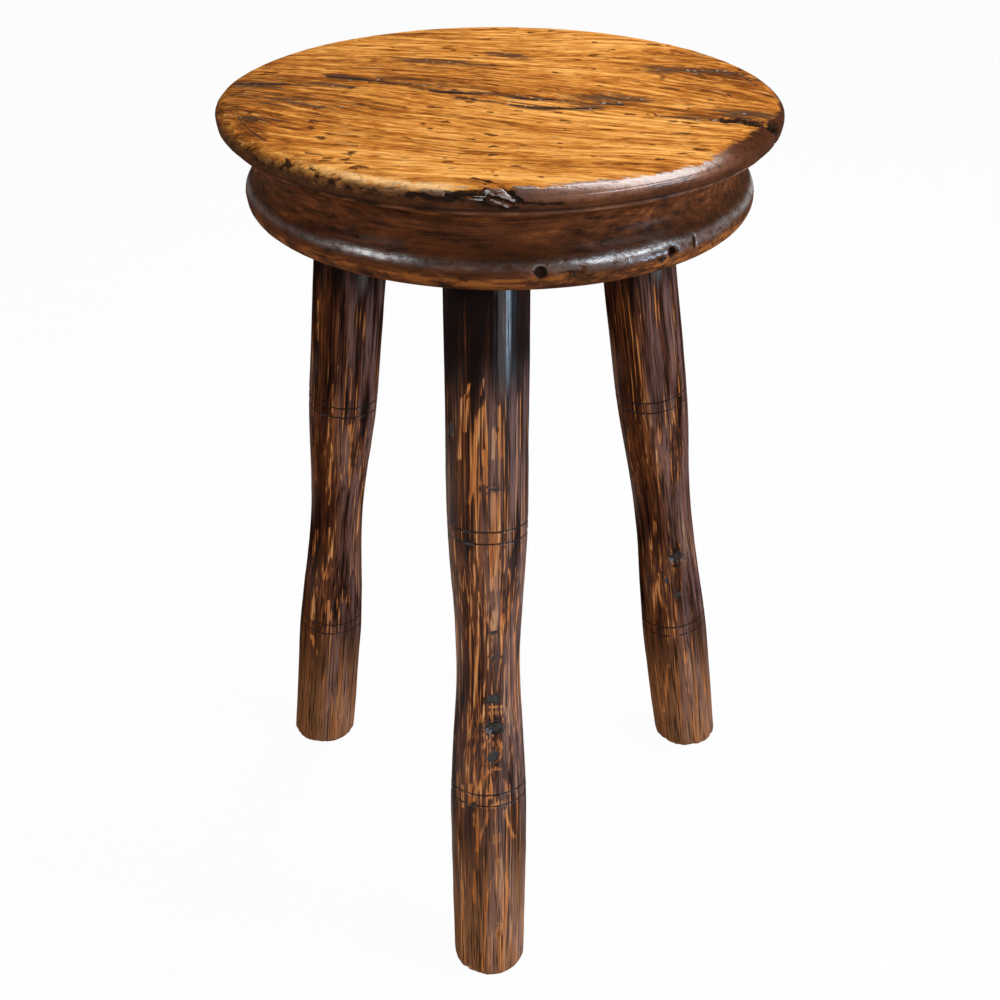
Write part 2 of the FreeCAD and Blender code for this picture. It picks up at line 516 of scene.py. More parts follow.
def bridge_rings(piece: bpy.types.Object, radii: Sequence[float], height: float) -> None:
    """Bridge two rings of open edges that lie level, one inside the other.

    Args:
        piece: body that holds both rings.
        radii: radius of the inner ring and of the outer ring, in millimetres.
        height: height of the rings, in millimetres.
    """
    points = mesh_points(piece)
    radius = np.hypot(points[:, 0], points[:, 1])
    near = np.minimum(abs(radius - radii[0]), abs(radius - radii[1])) < TOUCH
    select_points(piece, near & (abs(points[:, 2] - height) < TOUCH))
    bpy.ops.mesh.select_mode(type="EDGE")
    bpy.ops.mesh.bridge_edge_loops()
    bpy.ops.object.mode_set(mode="OBJECT")


def cut_away(piece: bpy.types.Object, tool: bpy.types.Object) -> None:
    """Cut a tool's form out of a piece and delete the tool.

    Args:
        piece: the piece that is cut.
        tool: the form that is cut away.
    """
    make_active(piece)
    cut = piece.modifiers.new("cut", "BOOLEAN")
    cut.operation = "DIFFERENCE"
    cut.solver = "EXACT"
    cut.object = tool
    bpy.ops.object.modifier_apply(modifier=cut.name)
    make_active(tool)
    bpy.ops.object.delete()


def refine(piece: bpy.types.Object, chosen: np.ndarray, cuts: int) -> None:
    """Divide the faces between some points, so that finer marks can be worked into them.

    Args:
        piece: the body that holds the points.
        chosen: which points are meant.
        cuts: number of cuts along each edge.
    """
    select_points(piece, chosen)
    bpy.ops.mesh.subdivide(number_cuts=cuts)
    bpy.ops.object.mode_set(mode="OBJECT")


def mesh_points(piece: bpy.types.Object) -> np.ndarray:
    """Read the places of a mesh's points.

    Args:
        piece: the mesh's object.

    Returns:
        One row per point, in millimetres.
    """
    flat = np.empty(len(piece.data.vertices) * 3, np.float32)
    piece.data.vertices.foreach_get("co", flat)
    return flat.reshape(-1, 3).astype(float) / MM


def mesh_normals(piece: bpy.types.Object) -> np.ndarray:
    """Read the normals of a mesh's points.

    Args:
        piece: the mesh's object.

    Returns:
        One row per point.
    """
    flat = np.empty(len(piece.data.vertices) * 3, np.float32)
    piece.data.vertex_normals.foreach_get("vector", flat)
    return flat.reshape(-1, 3).astype(float)


def move_points(piece: bpy.types.Object, points: np.ndarray) -> None:
    """Write the places of a mesh's points, in millimetres, back to it."""
    piece.data.vertices.foreach_set("co", (points * MM).astype(np.float32).ravel())
    piece.data.update()


def paint(piece: bpy.types.Object, mark: Mark, values: np.ndarray) -> None:
    """Store one value per point as an attribute for the finish to read."""
    attribute = piece.data.attributes.new(mark.value, "FLOAT", "POINT")
    attribute.data.foreach_set("value", np.clip(values, 0, 1).astype(np.float32))


def fade(value: np.ndarray, low: float, high: float) -> np.ndarray:
    """Smooth step from 0 at low to 1 at high, or falling where low is the larger."""
    share = np.clip((value - low) / (high - low), 0, 1)
    return share * share * (3 - 2 * share)


def turn_from(bearing: np.ndarray, middle: float) -> np.ndarray:
    """Turn from a middle bearing to each bearing, between -180 and 180 degrees."""
    return np.mod(bearing - middle + 180, 360) - 180


def path_distance(plan: np.ndarray, path: Sequence[Sequence[float]]) -> np.ndarray:
    """Measure how far points in a plane are from a path.

    Args:
        plan: the points as rows.
        path: corners of the path in order.

    Returns:
        Distance of each point from the nearest stretch.
    """
    nearest = np.full(len(plan), np.inf)
    for start, end in zip(path, path[1:]):
        start, run = np.array(start), np.subtract(end, start)
        share = np.clip((plan - start) @ run / (run @ run), 0, 1)
        offset = plan - start - share[:, None] * run
        nearest = np.minimum(nearest, np.hypot(offset[:, 0], offset[:, 1]))
    return nearest


@dataclass(frozen=True)
class Grain:
    """A field of noise: size of its features along each axis, in millimetres, and its seed."""

    cell: tuple[float, float, float]
    seed: float = 0.0

    def over(self, points: np.ndarray, where: np.ndarray, shift: float) -> np.ndarray:
        """Fractal noise between about -1 and 1.

        Args:
            points: places as rows, in millimetres.
            where: which points need a value.
            shift: added to the seed, so that one mark is unlike the next.

        Returns:
            One value per point, 0 where none is needed.
        """
        values = np.zeros(len(points))
        scaled = points[where] / np.array(self.cell) + (self.seed + shift)
        values[where] = [noise.fractal(place, 1.0, 2.0, NOISE_LAYERS) for place in scaled]
        return values


class Carving:
    """Points of a turned body while wear is worked into them, in millimetres about its axis."""

    def __init__(self, piece: bpy.types.Object, marks: Sequence[Mark]) -> None:
        """Take up a turned body.

        Args:
            piece: the body.
            marks: the marks that its finish reads.
        """
        self.piece = piece
        self.points = mesh_points(piece)
        self.normals = mesh_normals(piece)
        self.height = self.points[:, 2].copy()
        self.radius = np.hypot(self.points[:, 0], self.points[:, 1])
        self.bearing = np.degrees(np.arctan2(self.points[:, 1], self.points[:, 0]))
        self.lift = np.zeros(len(self.points))
        self.marks = {mark: np.zeros(len(self.points)) for mark in marks}

    def noise(self, grain: Grain, where: np.ndarray, shift: float = 0.0) -> np.ndarray:
        """Noise at the body's points."""
        return grain.over(self.points, where, shift)

    def around(self, bearing: float) -> np.ndarray:
        """Distance of the points around the axis from a bearing."""
        return np.radians(turn_from(self.bearing, bearing)) * self.radius

    def add_mark(self, mark: Mark, values: np.ndarray) -> None:
        """Add to a mark, which keeps the larger value at each point."""
        self.marks[mark] = np.maximum(self.marks[mark], values)

    def dig(self, depth: float, where: np.ndarray, mark: Mark, strength: float = 1.0) -> None:
        """Lower the surface and mark it.

        Args:
            depth: how far it goes down.
            where: share of the depth at each point.
            mark: the mark that is left.
            strength: value of the mark where the depth is full.
        """
        self.lift -= depth * where
        self.add_mark(mark, strength * where)

    def settle(self) -> None:
        """Move the points along their normals by the relief that was worked in."""
        self.points += self.normals * self.lift[:, None]

    def write(self) -> None:
        """Write the points and the marks to the mesh."""
        move_points(self.piece, self.points)
        for mark, values in self.marks.items():
            paint(self.piece, mark, values)


# Finishes

@dataclass(frozen=True)
class Band:
    """A level band round the seat: drop of its middle below the top and half width, in millimetres."""

    drop: float
    width: float


class SeatPattern:
    """Patterns of the seat's wood that its colour, wax and relief share.

    Lengths are millimetres from the middle of the seat's top, with x along the board.
    """

    def __init__(self, axis: Vector, turn: float) -> None:
        """Start the seat's material.

        Args:
            axis: middle of the seat's top, in metres.
            turn: turn of the board about the seat's axis, in radians.
        """
        self.shader = Shader("waxed_seat_wood")
        self.place = self.shader.place(axis, (0, 0, turn))
        self.x, self.y, self.z = self.shader.split(self.place)
        self.drop = self.z * -1
        self.dirt = self.shader.mark(Mark.SOOT)
        self.scar = self.shader.mark(Mark.SCAR)
        self.crack = self.shader.mark(Mark.CRACK)

    def band(self, band: Band) -> Flow:
        """1 along the middle of a level band, 0 away from it."""
        return self.drop.hump(band.drop, band.width)

    @cached_property
    def across(self) -> Flow:
        """Place across the grain, which runs aslant and drifts.

        Returns:
            Place in millimetres.
        """
        slope = 0.10 + 0.33 * self.y.hump(-15, 70)
        drift = (self.shader.cloud(self.place, (90, 30, 30), 1) - 0.5) * 12
        return self.y + self.x * slope + drift

    @cached_property
    def grain(self) -> Flow:
        """Place that follows the grain."""
        return self.shader.join(self.x, self.across, self.z)

    @cached_property
    def streak(self) -> Flow:
        """Long streaks of the top."""
        return self.shader.cloud(self.grain, (70, 6.5, 6.5), 4, 0.62)

    @cached_property
    def fibre(self) -> Flow:
        """Short fibres."""
        return self.shader.cloud(self.grain, (16, 2.8, 2.8), 3, 0.65)

    @cached_property
    def speck(self) -> Flow:
        """Spots of the top."""
        return self.shader.cloud(self.place, (8, 5.5, 5.5), 2, 0.6)

    @cached_property
    def splinter(self) -> Flow:
        """Ragged streaks, about 0."""
        return self.shader.cloud(self.grain, (34, 4.2, 4.2), 4, 0.7) - 0.5

    @cached_property
    def body(self) -> Flow:
        """Long streaks of the edge."""
        return self.shader.cloud(self.grain, (60, 5, 2.6), 4, 0.65)

    @cached_property
    def mottle(self) -> Flow:
        """Blotches of the edge."""
        return self.shader.cloud(self.place, (16, 16, 9), 3, 0.6)

    @cached_property
    def fine_mottle(self) -> Flow:
        """Small blotches of the edge."""
        return self.shader.cloud(self.place, (5, 5, 3.4), 3, 0.65)

    @cached_property
    def warp(self) -> Flow:
        """Small shifts that make an even pattern uneven."""
        return self.shader.cloud(self.place, (6, 6, 6), 2)

    @cached_property
    def late(self) -> Flow:
        """Dark late wood of the growth rings.

        Returns:
            1 in the late wood, 0 in the early wood.
        """
        years = ((self.across - 190) ** 2 + (self.z + 45) ** 2) ** 0.5
        growth = years + (self.shader.cloud(self.grain, (160, 24, 24), 1) - 0.5) * 14
        ring = (growth / 6.4).maths("FRACT")
        return ring.rise(0.5, 0.92) * ring.rise(1.0, 0.95)

    @cached_property
    def line(self) -> Flow:
        """Short dark lines."""
        return self.shader.cloud(self.grain, (13, 3.4, 3.4), 2).rise(0.64, 0.69)

    @cached_property
    def dent(self) -> Flow:
        """Flecks and dashes pressed into the top.

        Returns:
            1 in a dent, 0 between dents.
        """
        rough_grain = self.shader.join(self.x + self.warp * 9, self.across + self.warp * 5, self.z)
        fleck = self.shader.specks(rough_grain, (11, 6.5, 6.5), 0.30, 0.23)
        dash = self.shader.specks(rough_grain, (30, 14, 14), 0.34, 0.18)
        return fleck.or_more(dash) * (1 - self.handled)

    @cached_property
    def glint(self) -> Flow:
        """Pale specks: dust in the smeared dirt, and painted glints along the shakes."""
        return self.shader.specks(self.place, (4, 4, 4), 0.4, 0.3)

    @cached_property
    def handled(self) -> Flow:
        """The dark handled edge, with a ragged border that is softer on the left.

        Returns:
            1 on the handled edge, 0 on the top.
        """
        ragged = (self.speck - 0.5) * 12 + (self.streak - 0.5) * 8 + (self.fibre - 0.5) * 8
        over_lip = self.shader.mark(Mark.EDGE) * EDGE_REACH - EDGE_REACH / 2 + ragged
        left_rim = self.x.rise(-20, -70)
        return over_lip.rise(-1.6, 1.6) * (1 - left_rim) + over_lip.rise(-3.5, 9) * left_rim

    @cached_property
    def lip(self) -> Flow:
        """The nosing, fading out towards its foot."""
        return self.drop.rise(11.5, 4.5)

    @cached_property
    def rough_place(self) -> Flow:
        """Place with small shifts."""
        warp = self.warp
        return self.shader.join(self.x + warp * 6, self.y + warp * 6, self.z + warp * 5)

    @cached_property
    def shreds(self) -> Flow:
        """Torn scraps of old wax."""
        return self.shader.cloud(self.rough_place, (6, 3.4, 2.6), 3, 0.7)

    @cached_property
    def net(self) -> Flow:
        """Scraps of wax that still hold in the crazed part."""
        return self.shreds.rise(0.53, 0.60) * self.shader.mark(Mark.CRAZE)

    @cached_property
    def pits(self) -> Flow:
        """Pits between the scraps in the crazed part."""
        return self.shreds.rise(0.46, 0.39) * self.shader.mark(Mark.CRAZE)

    @cached_property
    def crackle(self) -> Flow:
        """Fine net of cracks in the wax."""
        return self.shader.crazing(self.rough_place, (3.4, 3.4, 2.4), 0.12)

    @cached_property
    def dug(self) -> Flow:
        """Black insides of chips, holes and bruises."""
        return (self.scar + (self.fine_mottle - 0.5) * 2.4).rise(0.2, 0.7) * self.scar.rise(0.02, 0.2)

    @cached_property
    def torn(self) -> Flow:
        """Black insides of shakes."""
        return (self.crack + self.splinter * 0.6).rise(0.34, 0.55) * self.crack.rise(0.04, 0.25)

    @cached_property
    def ridge(self) -> Flow:
        """Ridges of bare wood left standing in the chip."""
        ridge = self.shader.mark(Mark.RIDGE)
        return (ridge + (self.fine_mottle - 0.5) * 3.2).rise(0.6, 0.85) * ridge.rise(0.35, 0.6)


@dataclass(frozen=True)
class SeatFinish:
    """Honey-coloured waxed top, dark handled edge, black insides of shakes and chips, painted shade and
    sheen on the moulding.
    """

    pale: Colour = (0.95, 0.47, 0.125)
    honey: Colour = (0.68, 0.262, 0.043)
    brown: Colour = (0.35, 0.105, 0.016)
    umber: Colour = (0.10, 0.032, 0.009)
    grime: Colour = (0.085, 0.045, 0.026)
    # pale grey of dust specks, and of the painted glints along the shakes
    dust: Colour = (0.50, 0.42, 0.34)
    # pale grey of the chip's bare ridges, painted as their highlight
    bare_ridge_highlight: Colour = (0.36, 0.30, 0.28)
    tan: Colour = (0.42, 0.19, 0.062)
    # pale honey painted as the highlight along the front-left corner of the top
    lip_highlight: Colour = (1.0, 0.66, 0.32)
    # near-black of the insides of chips, holes and shakes, and painted shade in the quirk
    soot: Colour = (0.018, 0.010, 0.007)
    # pink painted as the sheen on the upper nosing right of the middle and on the fillet
    painted_pink_sheen: Colour = (0.40, 0.175, 0.10)
    edge_brown: Colour = (0.135, 0.042, 0.020)
    edge_olive: Colour = (0.075, 0.036, 0.017)
    edge_orange: Colour = (0.36, 0.110, 0.024)
    edge_red: Colour = (0.135, 0.038, 0.012)
    edge_dark: Colour = (0.026, 0.009, 0.004)
    gloss: Gloss = Gloss(bare_level=0.0, wax_index=1.95, wax_roughness=0.24, wax_relief=0.6)
    board_turn: float = VIEW_TURN
    thin_wax: float = 0.012
    lip_highlight_band: Band = Band(1.2, 1.2)
    corner: Band = Band(1.5, 2.3)
    # band of painted shade on the nosing's underside
    shaded_nosing_foot: Band = Band(8.4, 2.6)
    # band of painted shade in the quirk under the nosing
    shaded_quirk: Band = Band(10.9, 1.1)
    fillet: Band = Band(13.4, 0.8)
    # band of painted shade at the foot of the hollow
    shaded_hollow_foot: Band = Band(36.0, 6.0)
    # band of painted shade along the bead's top, where the hollow meets it
    bead_top: Band = Band(40.5, 4.0)
    bead_glint: Band = Band(41.4, 1.9)
    bead_sheen: Band = Band(42.8, 2.6)
    bead: Band = Band(45.0, 5.0)
    bead_foot: Band = Band(49.5, 3.4)

    def material(self, axis: Vector) -> bpy.types.Material:
        """Build the material.

        Args:
            axis: middle of the seat's top, in metres.

        Returns:
            The finished material.
        """
        wood = SeatPattern(axis, math.radians(self.board_turn))
        roughness = (0.5 - wood.handled * 0.12 + (wood.streak - 0.5) * 0.3).clamped()
        return wood.shader.finish(
            self.colour(wood), roughness, self.wax(wood), self.relief(wood), self.gloss)

    def colour(self, wood: SeatPattern) -> Flow:
        """Lay the colours of the top, the edge and the damage over each other.

        Args:
            wood: patterns of the seat's wood.

        Returns:
            Colour of the seat.
        """
        x = wood.x
        radius = (x * x + wood.y * wood.y) ** 0.5
        # painted highlight: a pale line along the worn front-left corner, laid on below
        rubbed = wood.band(self.lip_highlight_band) * radius.rise(135, 139) * x.rise(-95, -55) * x.rise(-12, -28)
        return wood.shader.coats(
            self.top_colour(wood),
            (wood.handled, self.edge_colour(wood)),
            (wood.net * 0.4, self.tan),
            (wood.pits * 0.6, self.edge_dark),
            (rubbed * wood.fine_mottle.rise(0.36, 0.52) * 0.7, self.lip_highlight),
            (wood.crackle * wood.handled * 0.15, self.edge_dark),
            (wood.dug * 0.95, self.soot),
            (wood.torn * 0.94, self.soot),
            # painted highlight: pale glints along the shakes
            (wood.glint * wood.crack.rise(0.5, 0.8) * 0.8, self.dust),
            # painted highlight: the chip's bare ridges laid in pale grey
            (wood.ridge * 0.65, self.bare_ridge_highlight))

    def top_colour(self, wood: SeatPattern) -> Flow:
        """Colour the top: growth rings, lines, flecks and smeared dirt on honey-coloured wood.

        Args:
            wood: patterns of the seat's wood.

        Returns:
            Colour of the top.
        """
        shader = wood.shader
        sweep = shader.cloud(wood.grain, (260, 38, 38), 2)
        tone = (0.572 + (wood.streak - 0.5) * 1.2 + (wood.fibre - 0.5) * 1.1 + (sweep - 0.5) * 0.9
                + (wood.speck - 0.5) * 0.4 - wood.y.hump(25, 42) * 0.11
                - wood.x.maths("ABSOLUTE").rise(85, 138) * 0.12 - wood.dirt * 0.22)
        tones = ((0.15, self.umber), (0.36, self.brown), (0.56, self.honey), (0.80, self.pale))
        shifted = shader.join(wood.x + 500, wood.across + 300, wood.z)
        pale_line = shader.cloud(shifted, (26, 2.8, 2.8), 3, 0.6).rise(0.565, 0.595)
        long_line = shader.cloud(wood.grain, (40, 2.6, 2.6), 3, 0.6).rise(0.565, 0.595)
        smear = (wood.dirt * 0.75 + wood.splinter * 3.0).rise(0.36, 0.62)
        return shader.coats(
            shader.ramp(tone, *tones),
            (wood.late * 0.28, self.brown),
            (pale_line * 0.45, self.pale),
            (long_line * 0.6, self.brown),
            (wood.line * 0.8, self.umber),
            (wood.dent * 0.9, self.umber),
            (smear * 0.85, self.grime),
            (wood.glint * smear * 0.5, self.dust))

    def edge_colour(self, wood: SeatPattern) -> Flow:
        """Colour the moulded edge: dark, redder where it's worn and orange in places, with painted pink
        sheen on the nosing and the fillet, and painted shade under the nosing, in the quirk, at the
        hollow's foot and along the bead's top.

        Args:
            wood: patterns of the seat's wood.

        Returns:
            Colour of the edge.
        """
        shader, x, body, mottle = wood.shader, wood.x, wood.body, wood.mottle
        wear = (body - 0.5) * 1.6 + (mottle - 0.5) * 1.0 + 0.42
        tones = ((0.12, self.edge_dark), (0.62, self.edge_red), (1.0, self.edge_orange))
        lip_colour = shader.blend(x.rise(-40, 40), self.edge_olive, self.edge_brown)
        # painted sheen: pink on the upper nosing, right of the middle
        nosing_sheen = wood.drop.rise(8.5, 4) * x.rise(0, 60) * x.rise(125, 95)
        streaky = shader.cloud(wood.grain, (26, 6, 2.4), 3, 0.6).rise(0.42, 0.56)
        return shader.coats(
            shader.ramp(wear, *tones),
            (wood.lip * (0.55 + (mottle - 0.5) * 1.6).clamped(), lip_colour),
            (nosing_sheen * (0.35 + (mottle - 0.5) * 2).clamped() * 0.7, self.painted_pink_sheen),
            (mottle.rise(0.38, 0.56) * streaky * wood.band(self.bead_foot) * 0.8, self.edge_orange),
            (x.rise(92, 122) * wood.lip * 0.55, self.edge_dark),
            # painted shade: the nosing's underside darkened in streaks
            (wood.band(self.shaded_nosing_foot) * body.rise(0.42, 0.6) * 0.6, self.edge_dark),
            (wood.fine_mottle.rise(0.52, 0.62) * wood.lip * 0.45, self.edge_dark),
            # painted shade: a dark line in the quirk under the nosing
            (wood.band(self.shaded_quirk) * 0.8, self.soot),
            # painted highlight: a faint pink line along the fillet
            (wood.band(self.fillet) * mottle.rise(0.4, 0.6) * 0.12, self.painted_pink_sheen),
            # painted shade: an even dark band along the bead's top
            (wood.band(self.bead_top) * 0.5, self.edge_dark),
            # painted shade: the foot of the hollow darkened, from the front round to the right
            (wood.band(self.shaded_hollow_foot) * x.rise(-70, 30) * 0.6, self.edge_dark),
            (wood.band(self.bead) * body.rise(0.5, 0.62) * 0.6, self.edge_dark))

    def wax(self, wood: SeatPattern) -> Flow:
        """Spread the wax, which hands have polished on the corner, the fillet and the bead.

        Args:
            wood: patterns of the seat's wood.

        Returns:
            Share of the surface that shines.
        """
        x, fine_mottle = wood.x, wood.fine_mottle
        corner = wood.band(self.corner) * x.rise(-70, -20) * x.rise(112, 88) * 1.5
        glint = wood.band(self.bead_glint) * (0.5 + (fine_mottle - 0.4) * 3).clamped()
        glint = glint * (1 - x.rise(-72, -108) * 0.75)
        sheen = wood.band(self.bead_sheen) * x.rise(-10, 40) * x.rise(125, 100)
        sheen = sheen * fine_mottle.rise(0.36, 0.54) * 0.8
        fillet = wood.band(self.fillet) * wood.mottle * x.rise(-90, 20) * 0.35
        shine = corner.or_more(glint).or_more(sheen).or_more(fillet) * (0.6 + wood.mottle * 0.7)
        sound = 1 - wood.scar.rise(0.1, 0.5)
        polished = wood.handled * sound * (shine + self.thin_wax)
        return (polished + wood.torn * 0.25 + wood.ridge * 0.35 + self.thin_wax - wood.net * 0.3).clamped()

    def relief(self, wood: SeatPattern) -> Flow:
        """Raise and sink the fine relief.

        Args:
            wood: patterns of the seat's wood.

        Returns:
            Height in millimetres.
        """
        open_grain = wood.fibre * 0.25 + wood.streak * 0.2 - wood.line * 0.2 - wood.dent * 0.45
        old_wax = wood.mottle * 0.12 + wood.fine_mottle * 0.05 - wood.crackle * 0.018
        broken = (wood.scar + wood.crack).clamped() * wood.fine_mottle * 1.6
        return open_grain + wood.handled * old_wax + wood.net * 0.3 + broken


class LegPattern:
    """Patterns of a leg's wood that its colour, wax and relief share; lengths in millimetres."""

    def __init__(self, leg: "Leg") -> None:
        """Start the material of one leg, along the leg's own axes.

        Args:
            leg: the leg that it dresses.
        """
        self.leg = leg
        self.shader = Shader("smoked_leg_wood_" + leg.name)
        self.place = self.shader.place(leg.stand.translation, leg.stand.to_euler("XYZ"))
        self.x, self.y, self.along = self.shader.split(self.place)
        self.rubbed = self.shader.mark(Mark.RUBBED)
        self.score = self.shader.mark(Mark.SCORE)
        self.knot = self.shader.mark(Mark.KNOT)
        self.neck = self.along.rise(leg.length - 74, leg.length - 36)
        self.dusty = self.along.rise(125, 5)

    def towards(self, turn: float) -> Flow:
        """Distance from the leg's axis towards a bearing in radians."""
        return self.x * math.cos(turn) + self.y * math.sin(turn)

    @cached_property
    def late(self) -> Flow:
        """Dark late wood of the growth rings, about a pith outside the leg.

        Returns:
            1 in the late wood, 0 in the early wood.
        """
        pith_x, pith_y = self.leg.pith
        bend = (self.shader.cloud(self.place, (60, 60, 110), 1) - 0.5) * 5
        years = ((self.x - pith_x) ** 2 + (self.y - pith_y) ** 2) ** 0.5 + bend
        growth = (years + (self.shader.cloud(self.place, (5, 5, 70), 2) - 0.5) * 3.0) / 2.3
        ring = growth.maths("FRACT")
        return ring.rise(0.42, 0.8) * ring.rise(1.0, 0.93)

    @cached_property
    def flame(self) -> Flow:
        """Long thin flames."""
        return self.shader.cloud(self.place, (1.4, 1.4, 75), 2, 0.55)

    @cached_property
    def fibre(self) -> Flow:
        """Fine fibres."""
        return self.shader.cloud(self.place, (0.9, 0.9, 36), 2, 0.65)

    @cached_property
    def hue(self) -> Flow:
        """Long drifts of colour."""
        return self.shader.cloud(self.place, (5, 5, 70), 3, 0.6)

    @cached_property
    def patch(self) -> Flow:
        """Broad patches."""
        return self.shader.cloud(self.place, (16, 16, 70), 2)

    @cached_property
    def pore(self) -> Flow:
        """Dark open pores."""
        return self.shader.cloud(self.place, (0.85, 0.85, 32), 1).rise(0.56, 0.65)


@dataclass(frozen=True)
class LegFinish:
    """Dark smoked and waxed leg wood, rubbed back to amber streaks."""

    black: Colour = (0.010, 0.005, 0.004)
    smoke: Colour = (0.066, 0.019, 0.008)
    russet: Colour = (0.21, 0.062, 0.018)
    rust: Colour = (0.25, 0.062, 0.014)
    amber: Colour = (0.58, 0.190, 0.045)
    straw: Colour = (0.82, 0.42, 0.18)
    dust: Colour = (0.44, 0.180, 0.072)
    # mauve-grey painted as the sheen down one side of the leg
    painted_sheen: Colour = (0.125, 0.075, 0.070)
    bare: float = -0.10
    sheen: float = 0.15
    gloss: Gloss = Gloss(bare_level=0.0, wax_index=1.6, wax_roughness=0.24, wax_relief=0.2)

    def material(self, leg: "Leg") -> bpy.types.Material:
        """Build the material.

        Args:
            leg: the leg that it dresses.

        Returns:
            The finished material.
        """
        wood = LegPattern(leg)
        roughness = (0.45 + (wood.fibre - 0.5) * 0.5 + wood.dusty * 0.25).clamped()
        height = wood.fibre * 0.4 + wood.flame * 0.5 - wood.pore * 0.25 + wood.knot * wood.fibre * 1.5
        return wood.shader.finish(self.colour(wood), roughness, self.wax(wood), height, self.gloss)

    def colour(self, wood: LegPattern) -> Flow:
        """Lay amber streaks, a painted mauve sheen down one side, and black pores, lines and knots over the
        smoked wood.

        Args:
            wood: patterns of the leg's wood.

        Returns:
            Colour of the leg.
        """
        shader, hue, patch, neck = wood.shader, wood.hue, wood.patch, wood.neck
        depth = (0.40 + (hue - 0.5) * 1.5 + (wood.fibre - 0.5) * 1.0 + (patch - 0.5) * 0.8
                 - neck * 0.5 + wood.rubbed * 0.15)
        glow = ((wood.flame - 0.5) * 3.2 + wood.late * 0.15 + wood.rubbed * 1.05 + (patch - 0.5) * 0.7
                - neck * 0.9 + self.bare)
        tones = ((0.38, self.rust), (0.51, self.amber), (0.65, self.straw))
        bright = shader.ramp(hue * 0.45 + wood.fibre * 0.55, *tones)
        sheen_side = wood.towards(wood.leg.painted_sheen_turn).rise(11, 18) * hue.rise(0.4, 0.6)
        return shader.coats(
            shader.ramp(depth, (0.15, self.black), (0.42, self.smoke), (0.80, self.russet)),
            (wood.dusty * 0.5, self.dust),
            (glow.rise(0.30, 0.62), bright),
            # painted sheen: mauve-grey down the side towards the given turn, except at the neck
            (sheen_side * (1 - neck) * 0.6, self.painted_sheen),
            (wood.pore * 0.75, self.black),
            (wood.score.rise(0.2, 0.7) * 0.9, self.black),
            (wood.knot.rise(0.25, 0.75), self.black))

    def wax(self, wood: LegPattern) -> Flow:
        """Spread the wax, which hands have polished on one side of the neck.

        Args:
            wood: patterns of the leg's wood.

        Returns:
            Share of the surface that shines.
        """
        neck = wood.neck
        radius = (wood.x * wood.x + wood.y * wood.y) ** 0.5
        facing = wood.towards(wood.leg.polish_turn) / radius
        polished = facing.rise(0.972, 0.992) * wood.hue.rise(0.36, 0.5)
        shine = (self.sheen + (wood.patch - 0.5) * 0.7) * (1 - neck * 0.85) + neck * polished * 0.8
        return (shine - wood.dusty * 0.08 + wood.score * 0.2 + wood.knot * 0.6).clamped()


@dataclass(frozen=True)
class WedgeFinish:
    """Bare split oak of the hidden wedges."""

    pale: Colour = (0.50, 0.30, 0.13)
    brown: Colour = (0.24, 0.12, 0.045)
    gloss: Gloss = Gloss(bare_level=0.2, wax_index=1.5, wax_roughness=0.4, relief=0.6)

    def material(self) -> bpy.types.Material:
        """Build the material.

        Returns:
            The finished material.
        """
        shader = Shader("split_wedge_wood")
        place = shader.place(Vector(), (0, 0, 0))
        fibre = shader.cloud(place, (0.8, 0.8, 14), 3, 0.6)
        patch = shader.cloud(place, (6, 6, 20), 2)
        colour = shader.ramp(fibre + (patch - 0.5) * 0.5, (0.3, self.brown), (0.7, self.pale))
        return shader.finish(colour, 0.55 + fibre * 0.2, patch * 0.05, fibre * 0.2, self.gloss)


# Seat

def seat_top() -> Vector:
    """Middle of the seat's top in the frame, in metres."""
    low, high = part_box("seat")
    return Vector(((low.x + high.x) / 2, (low.y + high.y) / 2, high.z))


@dataclass(frozen=True)
class Shake:
    """A split along the grain of the seat's top; points in millimetres from its middle."""

    path: tuple[tuple[float, float], ...]
    width: float
    depth: float
    through: float = 3.0
    openness: float = 0.3


@dataclass(frozen=True)
class Scar:
    """A bruise, chip or hole in the seat's edge; bearing in degrees, the rest in millimetres."""

    bearing: float
    drop: float
    length: float
    height: float
    depth: float
    ragged: float = 0.5
    dark: float = 1.0


@dataclass(frozen=True)
class Gouge:
    """A groove torn in the seat's edge, or a ridge left standing where its depth is below 0.

    Its points are bearing and way over the edge, in degrees and millimetres.  The way is 0 at the
    edge's shoulder, grows down the side and is below 0 on the top.
    """

    path: tuple[tuple[float, float], ...]
    width: float
    depth: float


@dataclass(frozen=True)
class Zone:
    """A stretch of the seat's edge with a finer mesh: bearing and half span in degrees, drops in mm."""

    bearing: float
    half_span: float
    top: float
    bottom: float
    cuts: int


@dataclass(frozen=True)
class Smudge:
    """A dark patch on the seat's top; place and size in millimetres."""

    x: float
    y: float
    length: float
    width: float
    strength: float = 1.0


